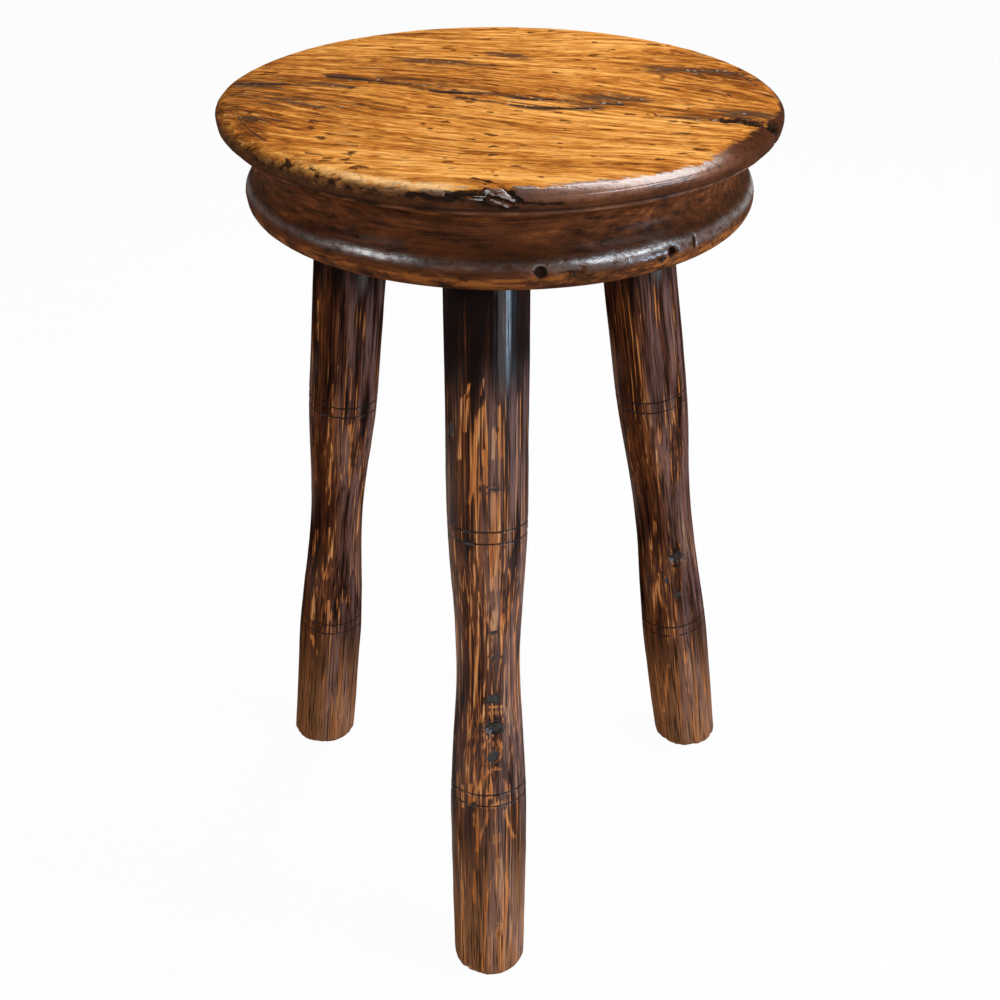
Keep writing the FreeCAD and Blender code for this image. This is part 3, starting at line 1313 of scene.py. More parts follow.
@dataclass
class Seat:
    """The round turned seat with its moulded edge; sizes in millimetres, angles in degrees."""

    radius: float = 144.0
    thickness: float = 56.5
    nosing_top_width: float = 8.0
    nosing_top_drop: float = 4.8
    nosing_under_setback: float = 1.5
    nosing_under_drop: float = 6.2
    fillet_setback: float = 4.5
    fillet_drop: float = 3.0
    hollow_setback: float = 6.5
    bead_setback: float = 12.1
    bead_round: float = 10.5
    bead_blend: float = 42.0
    shoulder_wear: float = 0.7
    ring_radius: float = 133.5
    ring_width: float = 0.75
    ring_depth: float = 0.6
    ring_arcs: tuple[tuple[float, float], ...] = ((-153.0, 14.0), (16.0, 9.0))
    dark_edge: tuple[tuple[float, float], ...] = (
        (-180, 145), (-160, 144.5), (-142, 144), (-131, 143.5), (-122, 144), (-110, 145), (-99, 145.5),
        (-93, 142.5), (-85, 139), (-73, 138), (-65, 138.2), (-57, 140.2), (-47, 141.5), (-40, 137.1),
        (-33, 134.1), (-22, 135), (-12, 141), (0, 144.5), (30, 146), (150, 146), (180, 145),
    )
    middle_radius: float = 45.0
    middle_gap: float = 2.0
    rim_steps: int = 504
    middle_steps: int = 144
    grid: float = 1.6
    top_grid: float = 2.0
    fine_grid: float = 0.6
    coarse_grid: float = 6.0
    corner_wear: int = 3
    oval: float = 1.0
    oval_bearing: float = -28.0
    swelling: float = 0.4
    ripple_height: float = 0.16
    lump_height: float = 0.2
    soot_reach: float = 5.5
    nibble_bearing: float = -130.0
    nibble_span: float = 26.0
    nibble_depth: float = 0.9
    smudge_turn: float = -15.0
    edge_slope: float = 1.4
    ripples: Grain = Grain((34, 6, 6), 11.3)
    lumps: Grain = Grain((18, 18, 10), 3.1)
    shake_wander: Grain = Grain((26, 6, 6), 20.5)
    shake_gaps: Grain = Grain((24, 9, 9), 30.5)
    scar_border: Grain = Grain((6, 6, 4), 40.5)
    scar_splinters: Grain = Grain((7, 3, 2.2), 50.5)
    nibbles: Grain = Grain((6, 6, 5), 60.5)
    gouge_wander: Grain = Grain((5, 5, 3), 70.5)
    socket_radius: float = 14.6
    socket_depth: float = 38.0
    socket_flare: float = 0.8
    socket_steps: int = 64
    finish: SeatFinish = SeatFinish()
    shakes: tuple[Shake, ...] = (
        Shake(((80, -31), (95, -34.7), (110, -39), (124, -42.7), (150, -49)), 1.9, 2.6, 13.0, 1.5),
        Shake(((-140, 16.8), (-125.6, 13), (-105.8, 13.8), (-88.8, 12.7), (-76.5, 9.5)), 1.4, 0.8),
        Shake(((-91, 29.3), (-66.9, 22.8), (-53.8, 17.8), (-29.5, 3.5), (3.5, -1.5), (14.3, -6.3),
               (29.6, -7.5), (45.8, -13.7), (62, -14)), 1.5, 1.0),
        Shake(((-20, -6), (3.5, -15.4), (21.3, -22.5), (42.8, -22.3), (49, -22.1)), 1.3, 0.7),
    )
    scars: tuple[Scar, ...] = (
        Scar(-90.5, 4.6, 15.0, 4.6, 1.6, 0.9, 0.6),
        Scar(-18.0, 3.0, 8.0, 5.0, 3.0, 0.8),
        Scar(-79.4, 45.2, 4.4, 3.9, 3.2, 0.4),
        Scar(-73.5, 46.6, 9.0, 3.2, 1.3, 0.8, 0.4),
        Scar(-49.3, 45.4, 3.4, 3.6, 5.0, 0.4),
        Scar(-52.4, 47.0, 3.4, 1.4, 1.2, 0.4),
        Scar(-43.0, 43.5, 0.9, 5.0, 1.2, 0.5),
        Scar(-124.0, 36.0, 10.0, 1.8, 0.7, 1.0, 0.6),
    )
    gouges: tuple[Gouge, ...] = (
        Gouge(((-93.3, -10.9), (-91, -8.8), (-88.3, -6.2)), 0.8, 0.6),
        Gouge(((-97, 3.4), (-94.3, 2.1), (-92, 0.7), (-90, -1.3), (-88, -2.9)), 1.5, 2.2),
        Gouge(((-88, -3.4), (-86, 0.1), (-85, 3.3), (-84, 5.6)), 1.4, 2.0),
        Gouge(((-93, 2.4), (-90.2, 1.9)), 0.9, 1.4),
        Gouge(((-104, 4.3), (-101, 4.9), (-98.6, 5.9), (-95.8, 5.9)), 1.6, 1.5),
        Gouge(((-90.5, 3.2), (-87.5, 4.9), (-85.2, 7.2)), 0.7, 1.2),
        Gouge(((-93.2, 3.8), (-90.4, 4.8)), 0.7, 1.0),
        Gouge(((-90.5, 7.4), (-87, 9.6), (-84.4, 9.2)), 0.8, 0.8),
        Gouge(((-83.6, 6.5), (-80, 7.4), (-76, 7.2)), 0.6, 0.4),
        Gouge(((-92.2, 2.9), (-90.2, 3.4)), 0.9, -0.5),
        Gouge(((-90, 1.0), (-87.2, 2.9), (-85.2, 5.4)), 0.9, -0.5),
        Gouge(((-89.2, 5.6), (-86.2, 7.9)), 0.9, -0.4),
        Gouge(((-94.4, 5.0), (-90.8, 5.5)), 0.6, -0.3),
        Gouge(((-96, 0.3), (-93.5, -0.8), (-91, -2.4)), 0.8, -0.2),
    )
    fine_zones: tuple[Zone, ...] = (
        Zone(-92, 13, -1, 17, 2), Zone(-130, 22, -1, 17, 1),
        Zone(-62, 24, 38, 56, 1), Zone(-18, 8, -1, 17, 1),
    )
    smudges: tuple[Smudge, ...] = (
        Smudge(-30, 57, 38, 9, 0.75), Smudge(2, 73, 15, 7, 0.9), Smudge(98, 48, 30, 8, 0.9),
        Smudge(61, -5, 26, 10, 0.8), Smudge(-117, -47, 12, 8, 0.6), Smudge(-130, 12, 18, 9, 0.9),
        Smudge(122, -28, 22, 9, 0.9), Smudge(105, -38, 26, 6, 0.7), Smudge(-60, 22, 42, 10, 0.6),
        Smudge(-100, 14, 30, 6, 0.6), Smudge(-8, 78, 5, 4, 1.0), Smudge(-104, -18, 36, 12, 0.55),
    )

    def rim_outline(self) -> Outline:
        """Draw the half section of the seat's outer part.

        Returns:
            Radius and height of points from the top round the moulding to the underside.
        """
        r, grid, fine = self.radius, self.grid, self.fine_grid
        widest = -self.nosing_top_drop
        nosing_end = widest - self.nosing_under_drop
        fillet_end = nosing_end - self.fillet_drop
        setback, under_drop = self.nosing_under_setback, self.nosing_under_drop
        under_round = (setback ** 2 + under_drop ** 2) / (2 * setback)
        under_turn = -math.degrees(math.asin(under_drop / under_round))
        bead = (r - self.bead_setback - self.bead_round, self.bead_round - self.thickness)
        blend = math.radians(self.bead_blend)
        normal = np.array((math.cos(blend), math.sin(blend)))
        bead_top = np.array(bead) + normal * self.bead_round
        hollow_top = np.array((r - self.hollow_setback, fillet_end))
        chord = hollow_top - bead_top
        hollow_round = chord @ chord / (2 * chord @ normal)
        hollow = bead_top + normal * hollow_round
        hollow_start = math.degrees(math.atan2(*(hollow_top - hollow)[::-1]))
        fillet = r - self.fillet_setback
        flat_end = r - self.nosing_top_width
        ring_zone = 3 * self.ring_width
        ring_start = self.ring_radius - ring_zone
        nosing_top = [
            (flat_end + self.nosing_top_width * x, self.nosing_top_drop * (y - 1))
            for x, y in arc_points((0, 0), 1, 90, 0, grid / self.nosing_top_width)
        ]
        top = joined([
            line_points((self.middle_radius, 0), (ring_start, 0), self.top_grid),
            line_points((ring_start, 0), (flat_end, 0), fine),
            nosing_top,
        ])
        moulding = joined([
            arc_points((r - under_round, widest), under_round, 0, under_turn, grid),
            line_points((r - setback, nosing_end), (fillet, nosing_end), fine),
            line_points((fillet, nosing_end), (fillet, fillet_end), fine),
            line_points((fillet, fillet_end), hollow_top, fine),
            arc_points(hollow, hollow_round, hollow_start, 180 + self.bead_blend, grid),
            arc_points(bead, self.bead_round, self.bead_blend, -90, grid),
        ])
        foot = -self.thickness
        under = line_points((bead[0], foot), (self.middle_radius, foot), self.coarse_grid)
        return joined([top, worn(moulding, self.corner_wear), under])

    def model(self) -> bpy.types.Object:
        """Turn the seat about Z with its top at height 0.

        Returns:
            The closed body.
        """
        piece = turned_body("seat_slab", self.rim_outline(), self.rim_steps)
        edge = self.middle_radius - self.middle_gap
        for height, step in ((0.0, 2 * self.grid), (-self.thickness, self.coarse_grid)):
            spoke = line_points((0, height), (edge, height), step)
            disc = turned_body("seat_middle", spoke, self.middle_steps)
            make_active(piece)
            disc.select_set(True)
            bpy.ops.object.join()
            bridge_rings(piece, (edge, self.middle_radius), height)
        close_body(piece)
        return piece

    def sculpt(self, piece: bpy.types.Object) -> None:
        """Wear, split and bruise the turned seat.

        Args:
            piece: the seat, turned about Z with its top at height 0.
        """
        marks = (Mark.CRACK, Mark.SCAR, Mark.RIDGE, Mark.SOOT, Mark.EDGE, Mark.CRAZE)
        carving = Carving(piece, marks)
        on_top = fade(-carving.height, 2.0, 0.5)
        on_rim = carving.radius > self.radius - 30
        self.wear(carving, on_top, on_rim)
        self.open_shakes(carving)
        self.bruise(carving, on_rim)
        self.tear(carving, on_rim)
        self.nibble(carving)
        self.soil(carving, on_top)
        carving.settle()
        oval = self.oval * np.cos(2 * np.radians(carving.bearing - self.oval_bearing))
        carving.points[:, :2] *= (1 + (self.swelling + oval) / self.radius)[:, None]
        carving.write()

    def wear(self, carving: Carving, on_top: np.ndarray, on_rim: np.ndarray) -> None:
        """Ripple the top, wear the shoulder and score what is left of the ring.

        Args:
            carving: the seat's points.
            on_top: 1 on the flat top, 0 below it.
            on_rim: which points lie near the edge.
        """
        radius, drop = carving.radius, -carving.height
        handled = fade(radius + drop, self.radius - 8, self.radius - 1)
        handled *= fade(drop, self.thickness - 1, self.thickness - 3.5)
        carving.lift += self.ripple_height * carving.noise(self.ripples, on_top > 0) * on_top
        carving.lift += self.lump_height * carving.noise(self.lumps, on_rim) * handled
        shoulder = fade(radius, self.radius - 15, self.radius - 6) * fade(drop, 4.5, 1.0)
        carving.lift -= self.shoulder_wear * shoulder
        groove = np.exp(-((radius - self.ring_radius) / self.ring_width) ** 2) * on_top
        shown = sum(
            fade(abs(carving.bearing - middle), half, half * 0.6)
            for middle, half in self.ring_arcs)
        carving.dig(self.ring_depth, groove * shown, Mark.CRACK, 0.6)

    def open_shakes(self, carving: Carving) -> None:
        """Open the shakes along the grain and blacken the wood beside them.

        Args:
            carving: the seat's points.
        """
        drop = -carving.height
        for number, shake in enumerate(self.shakes):
            distance = path_distance(carving.points[:, :2], shake.path)
            near = (distance < 5 * shake.width) & (drop < shake.through + 2)
            wander = 0.8 * shake.width * carving.noise(self.shake_wander, near, number)
            gaps = carving.noise(self.shake_gaps, near, number)
            split = np.exp(-((distance + wander) / shake.width) ** 2)
            split *= near * fade(drop, shake.through + 2, shake.through)
            split *= fade(gaps, -shake.openness - 0.3, -shake.openness + 0.2)
            carving.dig(shake.depth, split, Mark.CRACK)
            carving.add_mark(Mark.SOOT, 0.75 * np.exp(-(distance / self.soot_reach) ** 2))

    def bruise(self, carving: Carving, on_rim: np.ndarray) -> None:
        """Dig the chips, holes and bruises of the edge.

        Args:
            carving: the seat's points.
            on_rim: which points lie near the edge.
        """
        for number, scar in enumerate(self.scars):
            around = carving.around(scar.bearing) / scar.length
            reach = np.hypot(around, (-carving.height - scar.drop) / scar.height)
            near = (reach < 1.6) & on_rim
            reach += scar.ragged * 0.5 * carving.noise(self.scar_border, near, number)
            dug = fade(reach, 1.0, 0.5) * near
            splinters = carving.noise(self.scar_splinters, dug > 0, number)
            carving.lift -= scar.depth * dug * (0.75 + 0.9 * scar.ragged * splinters)
            carving.add_mark(Mark.SCAR, scar.dark * dug)

    def tear(self, carving: Carving, on_rim: np.ndarray) -> None:
        """Tear the gouges of the chip and leave its ridges standing.

        Args:
            carving: the seat's points.
            on_rim: which points lie near the edge.
        """
        drop = -carving.height
        shoulder = self.radius - self.nosing_top_width / 2
        over_edge = drop - np.maximum(shoulder - carving.radius, 0)
        unrolled = np.column_stack((np.radians(carving.bearing) * self.radius, over_edge))
        on_nosing = on_rim & (drop < self.nosing_top_drop + self.nosing_under_drop)
        for number, gouge in enumerate(self.gouges):
            path = [(math.radians(turn) * self.radius, over) for turn, over in gouge.path]
            distance = path_distance(unrolled, path) / gouge.width
            near = (distance < 4) & on_nosing
            wander = 0.5 * carving.noise(self.gouge_wander, near, number)
            ripped = np.exp(-(distance + wander) ** 2) * near
            carving.dig(gouge.depth, ripped, Mark.SCAR if gouge.depth > 0 else Mark.RIDGE)

    def nibble(self, carving: Carving) -> None:
        """Nibble one stretch of the nosing, where the wax is crazed as well.

        Args:
            carving: the seat's points.
        """
        drop = -carving.height
        outwards = carving.radius + drop
        nibbled = np.exp(-(turn_from(carving.bearing, self.nibble_bearing) / self.nibble_span) ** 2)
        nosing = nibbled * fade(outwards, self.radius - 6, self.radius - 1) * fade(drop, 9, 6)
        bites = fade(carving.noise(self.nibbles, nosing > 0.01), 0.05, 0.4) * nosing
        carving.dig(self.nibble_depth, bites, Mark.SCAR, 0.6)
        lip = fade(outwards, self.radius - 14, self.radius - 6) * fade(drop, 10, 6)
        carving.add_mark(Mark.CRAZE, nibbled * lip)

    def soil(self, carving: Carving, on_top: np.ndarray) -> None:
        """Mark the dirt on the top and the border of the dark handled edge.

        Args:
            carving: the seat's points.
            on_top: 1 on the flat top, 0 below it.
        """
        turn = math.radians(self.finish.board_turn + self.smudge_turn)
        for smudge in self.smudges:
            dx, dy = carving.points[:, 0] - smudge.x, carving.points[:, 1] - smudge.y
            lengthwise = dx * math.cos(turn) + dy * math.sin(turn)
            sidewise = dy * math.cos(turn) - dx * math.sin(turn)
            patch = np.exp(-(lengthwise / smudge.length) ** 2 - (sidewise / smudge.width) ** 2)
            carving.add_mark(Mark.SOOT, smudge.strength * patch)
        carving.marks[Mark.SOOT] *= on_top
        border = np.interp(carving.bearing, *zip(*self.dark_edge))
        outwards = carving.radius - self.edge_slope * carving.height
        carving.add_mark(Mark.EDGE, (outwards - border) / EDGE_REACH + 0.5)

    def build(self, legs: Sequence["Leg"]) -> bpy.types.Object:
        """Model, place and dress the seat.

        Args:
            legs: the legs whose sockets are bored in it.

        Returns:
            The seat's object.
        """
        axis = seat_top()
        piece = self.model()
        for zone in self.fine_zones:
            points = mesh_points(piece)
            bearing = np.degrees(np.arctan2(points[:, 1], points[:, 0]))
            outer = np.hypot(points[:, 0], points[:, 1]) > self.radius - 15
            level = (-points[:, 2] > zone.top) & (-points[:, 2] < zone.bottom)
            refine(piece, outer & level & (abs(bearing - zone.bearing) < zone.half_span), zone.cuts)
        self.sculpt(piece)
        move_points(piece, mesh_points(piece) + np.array(axis) / MM)
        for leg in legs:
            self.bore(piece, leg)
        piece.data.materials.append(self.finish.material(axis))
        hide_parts("seat")
        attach(piece, "root")
        return piece

    def bore(self, piece: bpy.types.Object, leg: "Leg") -> None:
        """Bore one blind socket for a leg's tenon.

        Args:
            piece: the seat in its place.
            leg: the leg whose tenon goes in.
        """
        spare = self.socket_radius / 2
        mouth, end = self.socket_radius * MM, (self.socket_radius + self.socket_flare) * MM
        depth = (self.socket_depth + spare) * MM
        deselect_all()
        bpy.ops.mesh.primitive_cone_add(
            vertices=self.socket_steps, radius1=mouth, radius2=end, depth=depth)
        drill = bpy.context.object
        middle = leg.length + (self.socket_depth - spare) / 2
        drill.data.transform(leg.stand @ Matrix.Translation((0, 0, middle * MM)))
        cut_away(piece, drill)


# Legs

@dataclass(frozen=True)
class Knot:
    """A knot or dent in a leg: place along it and around it, half sizes and depth, in mm and degrees."""

    along: float
    bearing: float
    half_height: float
    half_width: float
    depth: float
    dark: float = 1.0


@dataclass(frozen=True)
class Rub:
    """A stroke rubbed down to amber wood: points as place along the leg and bearing, in mm and degrees."""

    path: tuple[tuple[float, float], ...]
    width: float = 1.0
    strength: float = 0.9


@dataclass
class Leg:
    """One turned leg with its scored lines and slit tenon.

    Sizes are in millimetres, bearings in degrees and turns in radians.
    """

    name: str
    socket_bearing: float
    belly_radius: float
    waist_radius: float
    waist_height: float
    swell_radius: float
    scores: tuple[float, float]
    pith: tuple[float, float]
    lit_side_bearing: float
    seed: float
    knots: tuple[Knot, ...] = ()
    rubs: tuple[Rub, ...] = ()
    # bearing of the side that carries the painted sheen
    painted_sheen_turn: float = math.radians(-48.0)
    polish_turn: float = math.radians(-66.0)
    foot_radius: float = 19.6
    foot_round: float = 4.5
    waist_reach: float = 95.0
    neck_radius: float = 21.3
    score_spacing: float = 6.6
    score_width: float = 0.5
    score_depth: float = 0.8
    socket_circle: float = 88.0
    tenon_radius: float = 14.5
    tenon_length: float = 36.0
    tenon_flare: float = 0.8
    slit_depth: float = 28.0
    slit_root_width: float = 1.0
    slit_end_width: float = 4.6
    steps: int = 144
    grid: float = 1.1
    fine_grid: float = 0.4
    level_reach: float = 30.0
    wobble_height: float = 0.35
    ridge_height: float = 0.2
    neck_smoothing: float = 0.14
    scuff_depth: float = 0.9
    wobble: Grain = Grain((28, 28, 80))
    ridges: Grain = Grain((2.6, 2.6, 36), 4.4)
    score_waver: Grain = Grain((16, 16, 400))
    score_fading: Grain = Grain((13, 13, 400), 9.0)
    knot_border: Grain = Grain((4, 4, 4), 50.0)
    gnarl: Grain = Grain((4.5, 4.5, 2.6), 60.0)
    scuffs: Grain = Grain((7, 7, 9), 70.0)
    rub_waver: Grain = Grain((5, 5, 22), 80.0)
    finish: LegFinish = LegFinish()
    length: float = field(init=False)
    stand: Matrix = field(init=False)

    def __post_init__(self) -> None:
        """Work out the leg's length and placing from its foot and its socket in the frame."""
        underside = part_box("seat")[0].z
        mounts = {mount["name"]: mount for mount in frame["record"]["mounts"]}
        foot = Vector(mounts["foot_" + self.name]["pos_m"])
        bearing = math.radians(self.socket_bearing)
        reach = self.socket_circle * MM
        shoulder_y = seat_top().y + reach * math.sin(bearing)
        shoulder = Vector((reach * math.cos(bearing), shoulder_y, underside))
        axis = (shoulder - foot).normalized()
        side = (Vector((1, 0, 0)) - axis * axis.x).normalized()
        self.length = (shoulder - foot).length / MM
        self.stand = Matrix((side, axis.cross(side), axis)).transposed().to_4x4()
        self.stand.translation = foot

    def side_radius(self, along: np.ndarray) -> np.ndarray:
        """Work out the radius of the turned side.

        Args:
            along: places along the leg.

        Returns:
            Radius at each place.
        """
        heights = (0, self.waist_height - self.waist_reach, self.waist_height,
                   self.waist_height + self.waist_reach, self.length)
        radii = (self.foot_radius, self.belly_radius, self.waist_radius,
                 self.swell_radius, self.neck_radius)
        radius = np.full(np.shape(along), radii[0], float)
        for low, high, start, end in zip(heights, heights[1:], radii, radii[1:]):
            radius += (end - start) * fade(along, low, high)
        return radius

    def score_lines(self) -> list[float]:
        """Places of the scored lines along the leg."""
        half = self.score_spacing / 2
        return [middle + shift for middle in self.scores for shift in (-half, half)]

    def outline(self) -> Outline:
        """Draw the half section of the leg.

        Returns:
            Radius and height of points from the foot's middle to the tenon's end.
        """
        round_, length = self.foot_round, self.length
        places = np.arange(round_, length, self.grid)
        for line in self.score_lines():
            zone = 4 * self.score_width
            places = places[abs(places - line) > zone]
            places = np.append(places, np.arange(line - zone, line + zone, self.fine_grid))
        places = np.unique(np.append(places, length))
        side = list(zip(self.side_radius(places), places))
        tenon_end = length + self.tenon_length
        flared = self.tenon_radius + self.tenon_flare
        return joined([
            line_points((0, 0), (self.foot_radius - round_, 0), 2 * self.grid),
            arc_points((self.foot_radius - round_, round_), round_, -90, 0, self.grid),
            [(self.foot_radius, round_)] + side,
            line_points((self.neck_radius, length), (self.tenon_radius, length), 2 * self.grid),
            line_points((self.tenon_radius, length), (flared, tenon_end), 4 * self.grid),
            line_points((flared, tenon_end), (0, tenon_end), 3 * self.grid),
        ])

    def sculpt(self, piece: bpy.types.Object) -> None:
        """Wear the turned leg, score it, and cut it level at the floor and at the seat.

        Args:
            piece: the leg, turned about Z with its foot at height 0.
        """
        carving = Carving(piece, (Mark.SCORE, Mark.KNOT, Mark.RUBBED))
        off_tenon = fade(carving.radius, self.tenon_radius * 0.9, self.tenon_radius * 1.05)
        on_side = off_tenon * (carving.height < self.length)
        self.wear(carving, on_side)
        self.score(carving, on_side)
        self.press_knots(carving, on_side)
        self.rub(carving, on_side)
        carving.settle()
        self.level(carving)
        carving.write()

    def wear(self, carving: Carving, on_side: np.ndarray) -> None:
        """Make the side a little uneven and scuff the foot.

        Args:
            carving: the leg's points.
            on_side: 1 on the turned side, 0 elsewhere.
        """
        along, side = carving.height, on_side > 0
        wobble = self.wobble_height * carving.noise(self.wobble, side, self.seed)
        smooth_neck = fade(along, self.length - 90, self.length - 45)
        ridge_height = self.ridge_height - self.neck_smoothing * smooth_neck
        carving.lift += on_side * (wobble + ridge_height * carving.noise(self.ridges, side, self.seed))
        scuffs = carving.noise(self.scuffs, side & (along < 10), self.seed)
        carving.lift -= self.scuff_depth * fade(along, 9, 1) * fade(scuffs, -0.2, 0.6) * on_side

    def score(self, carving: Carving, on_side: np.ndarray) -> None:
        """Score the pairs of lines, which waver and fade in places.

        Args:
            carving: the leg's points.
            on_side: 1 on the turned side, 0 elsewhere.
        """
        for number, line in enumerate(self.score_lines()):
            offset = carving.height - line
            near = (on_side > 0) & (abs(offset) < 5)
            waver = 0.4 * carving.noise(self.score_waver, near, self.seed + number)
            fading = fade(carving.noise(self.score_fading, near, self.seed + number), -0.9, -0.3)
            groove = np.exp(-((offset - waver) / self.score_width) ** 2) * fading * on_side
            carving.dig(self.score_depth, groove, Mark.SCORE)

    def press_knots(self, carving: Carving, on_side: np.ndarray) -> None:
        """Sink the knots and dents, gnarled inside and with a low rim.

        Args:
            carving: the leg's points.
            on_side: 1 on the turned side, 0 elsewhere.
        """
        side = on_side > 0
        for number, knot in enumerate(self.knots):
            around = carving.around(knot.bearing) / knot.half_width
            reach = np.hypot(around, (carving.height - knot.along) / knot.half_height)
            reach += 0.3 * carving.noise(self.knot_border, side & (reach < 2), self.seed + number)
            rim = 0.3 * np.exp(-((reach - 1.15) / 0.2) ** 2)
            carving.lift -= knot.depth * (fade(reach, 1.0, 0.3) - rim) * on_side
            gnarl = carving.noise(self.gnarl, side & (reach < 1.2), self.seed + number)
            carving.lift += 1.1 * knot.depth * gnarl * fade(reach, 1.1, 0.6) * on_side
            carving.add_mark(Mark.KNOT, knot.dark * fade(reach, 1.0, 0.6) * on_side)

    def rub(self, carving: Carving, on_side: np.ndarray) -> None:
        """Mark the strokes where the smoke is rubbed off, and lighten the side towards a bearing a little
        as painted light.

        Args:
            carving: the leg's points.
            on_side: 1 on the turned side, 0 elsewhere.
        """
        # painted light: the side towards the given bearing is lightened a little, so the flanks stay darker
        facing = np.cos(np.radians(carving.bearing - self.lit_side_bearing))
        carving.add_mark(Mark.RUBBED, 0.2 * fade(facing, 0.1, 0.98))
        waver = 0.9 * carving.noise(self.rub_waver, on_side > 0, self.seed)
        around = np.radians(carving.bearing) * self.swell_radius + waver
        unrolled = np.column_stack((carving.height, around))
        for rub in self.rubs:
            path = [(place, math.radians(turn) * self.swell_radius) for place, turn in rub.path]
            stroke = np.exp(-(path_distance(unrolled, path) / rub.width) ** 2)
            carving.add_mark(Mark.RUBBED, rub.strength * stroke)

    def level(self, carving: Carving) -> None:
        """Slope the foot and the shoulder so that both lie level once the leg leans.

        Args:
            carving: the leg's points.
        """
        up = self.stand.to_3x3().transposed() @ Vector((0, 0, 1))
        level = -(carving.points[:, 0] * up.x + carving.points[:, 1] * up.y) / up.z
        along = carving.height
        near_floor = fade(along, self.level_reach, self.foot_round)
        near_seat = fade(along, self.length - self.level_reach, self.length) * (along < self.length + TOUCH)
        carving.points[:, 2] += level * (near_floor + near_seat)

    def slit(self, piece: bpy.types.Object) -> None:
        """Saw the tapered slit for the wedge into the tenon.

        Args:
            piece: the leg, turned about Z with its foot at height 0.
        """
        spare = 2.0
        taper = (self.slit_end_width - self.slit_root_width) / self.slit_depth
        bottom, top = self.slit_root_width, self.slit_end_width + taper * spare
        deselect_all()
        bpy.ops.mesh.primitive_cube_add(size=MM)
        saw = bpy.context.object
        corners = mesh_points(saw)
        upper = corners[:, 2] > 0
        corners[:, 0] *= np.where(upper, top, bottom)
        corners[:, 1] *= 3 * self.tenon_radius
        root = self.length + self.tenon_length - self.slit_depth
        corners[:, 2] = np.where(upper, self.length + self.tenon_length + spare, root)
        move_points(saw, corners)
        cut_away(piece, saw)

    def build(self) -> bpy.types.Object:
        """Model, place and dress the leg.

        Returns:
            The leg's object.
        """
        piece = turned_body("turned_leg_" + self.name, self.outline(), self.steps)
        close_body(piece)
        self.sculpt(piece)
        self.slit(piece)
        piece.data.transform(self.stand.to_3x3().to_4x4())
        move_points(piece, mesh_points(piece) + np.array(self.stand.translation) / MM)
        piece.data.materials.append(self.finish.material(self))
        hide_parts("leg_" + self.name)
        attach(piece, "root")
        return piece


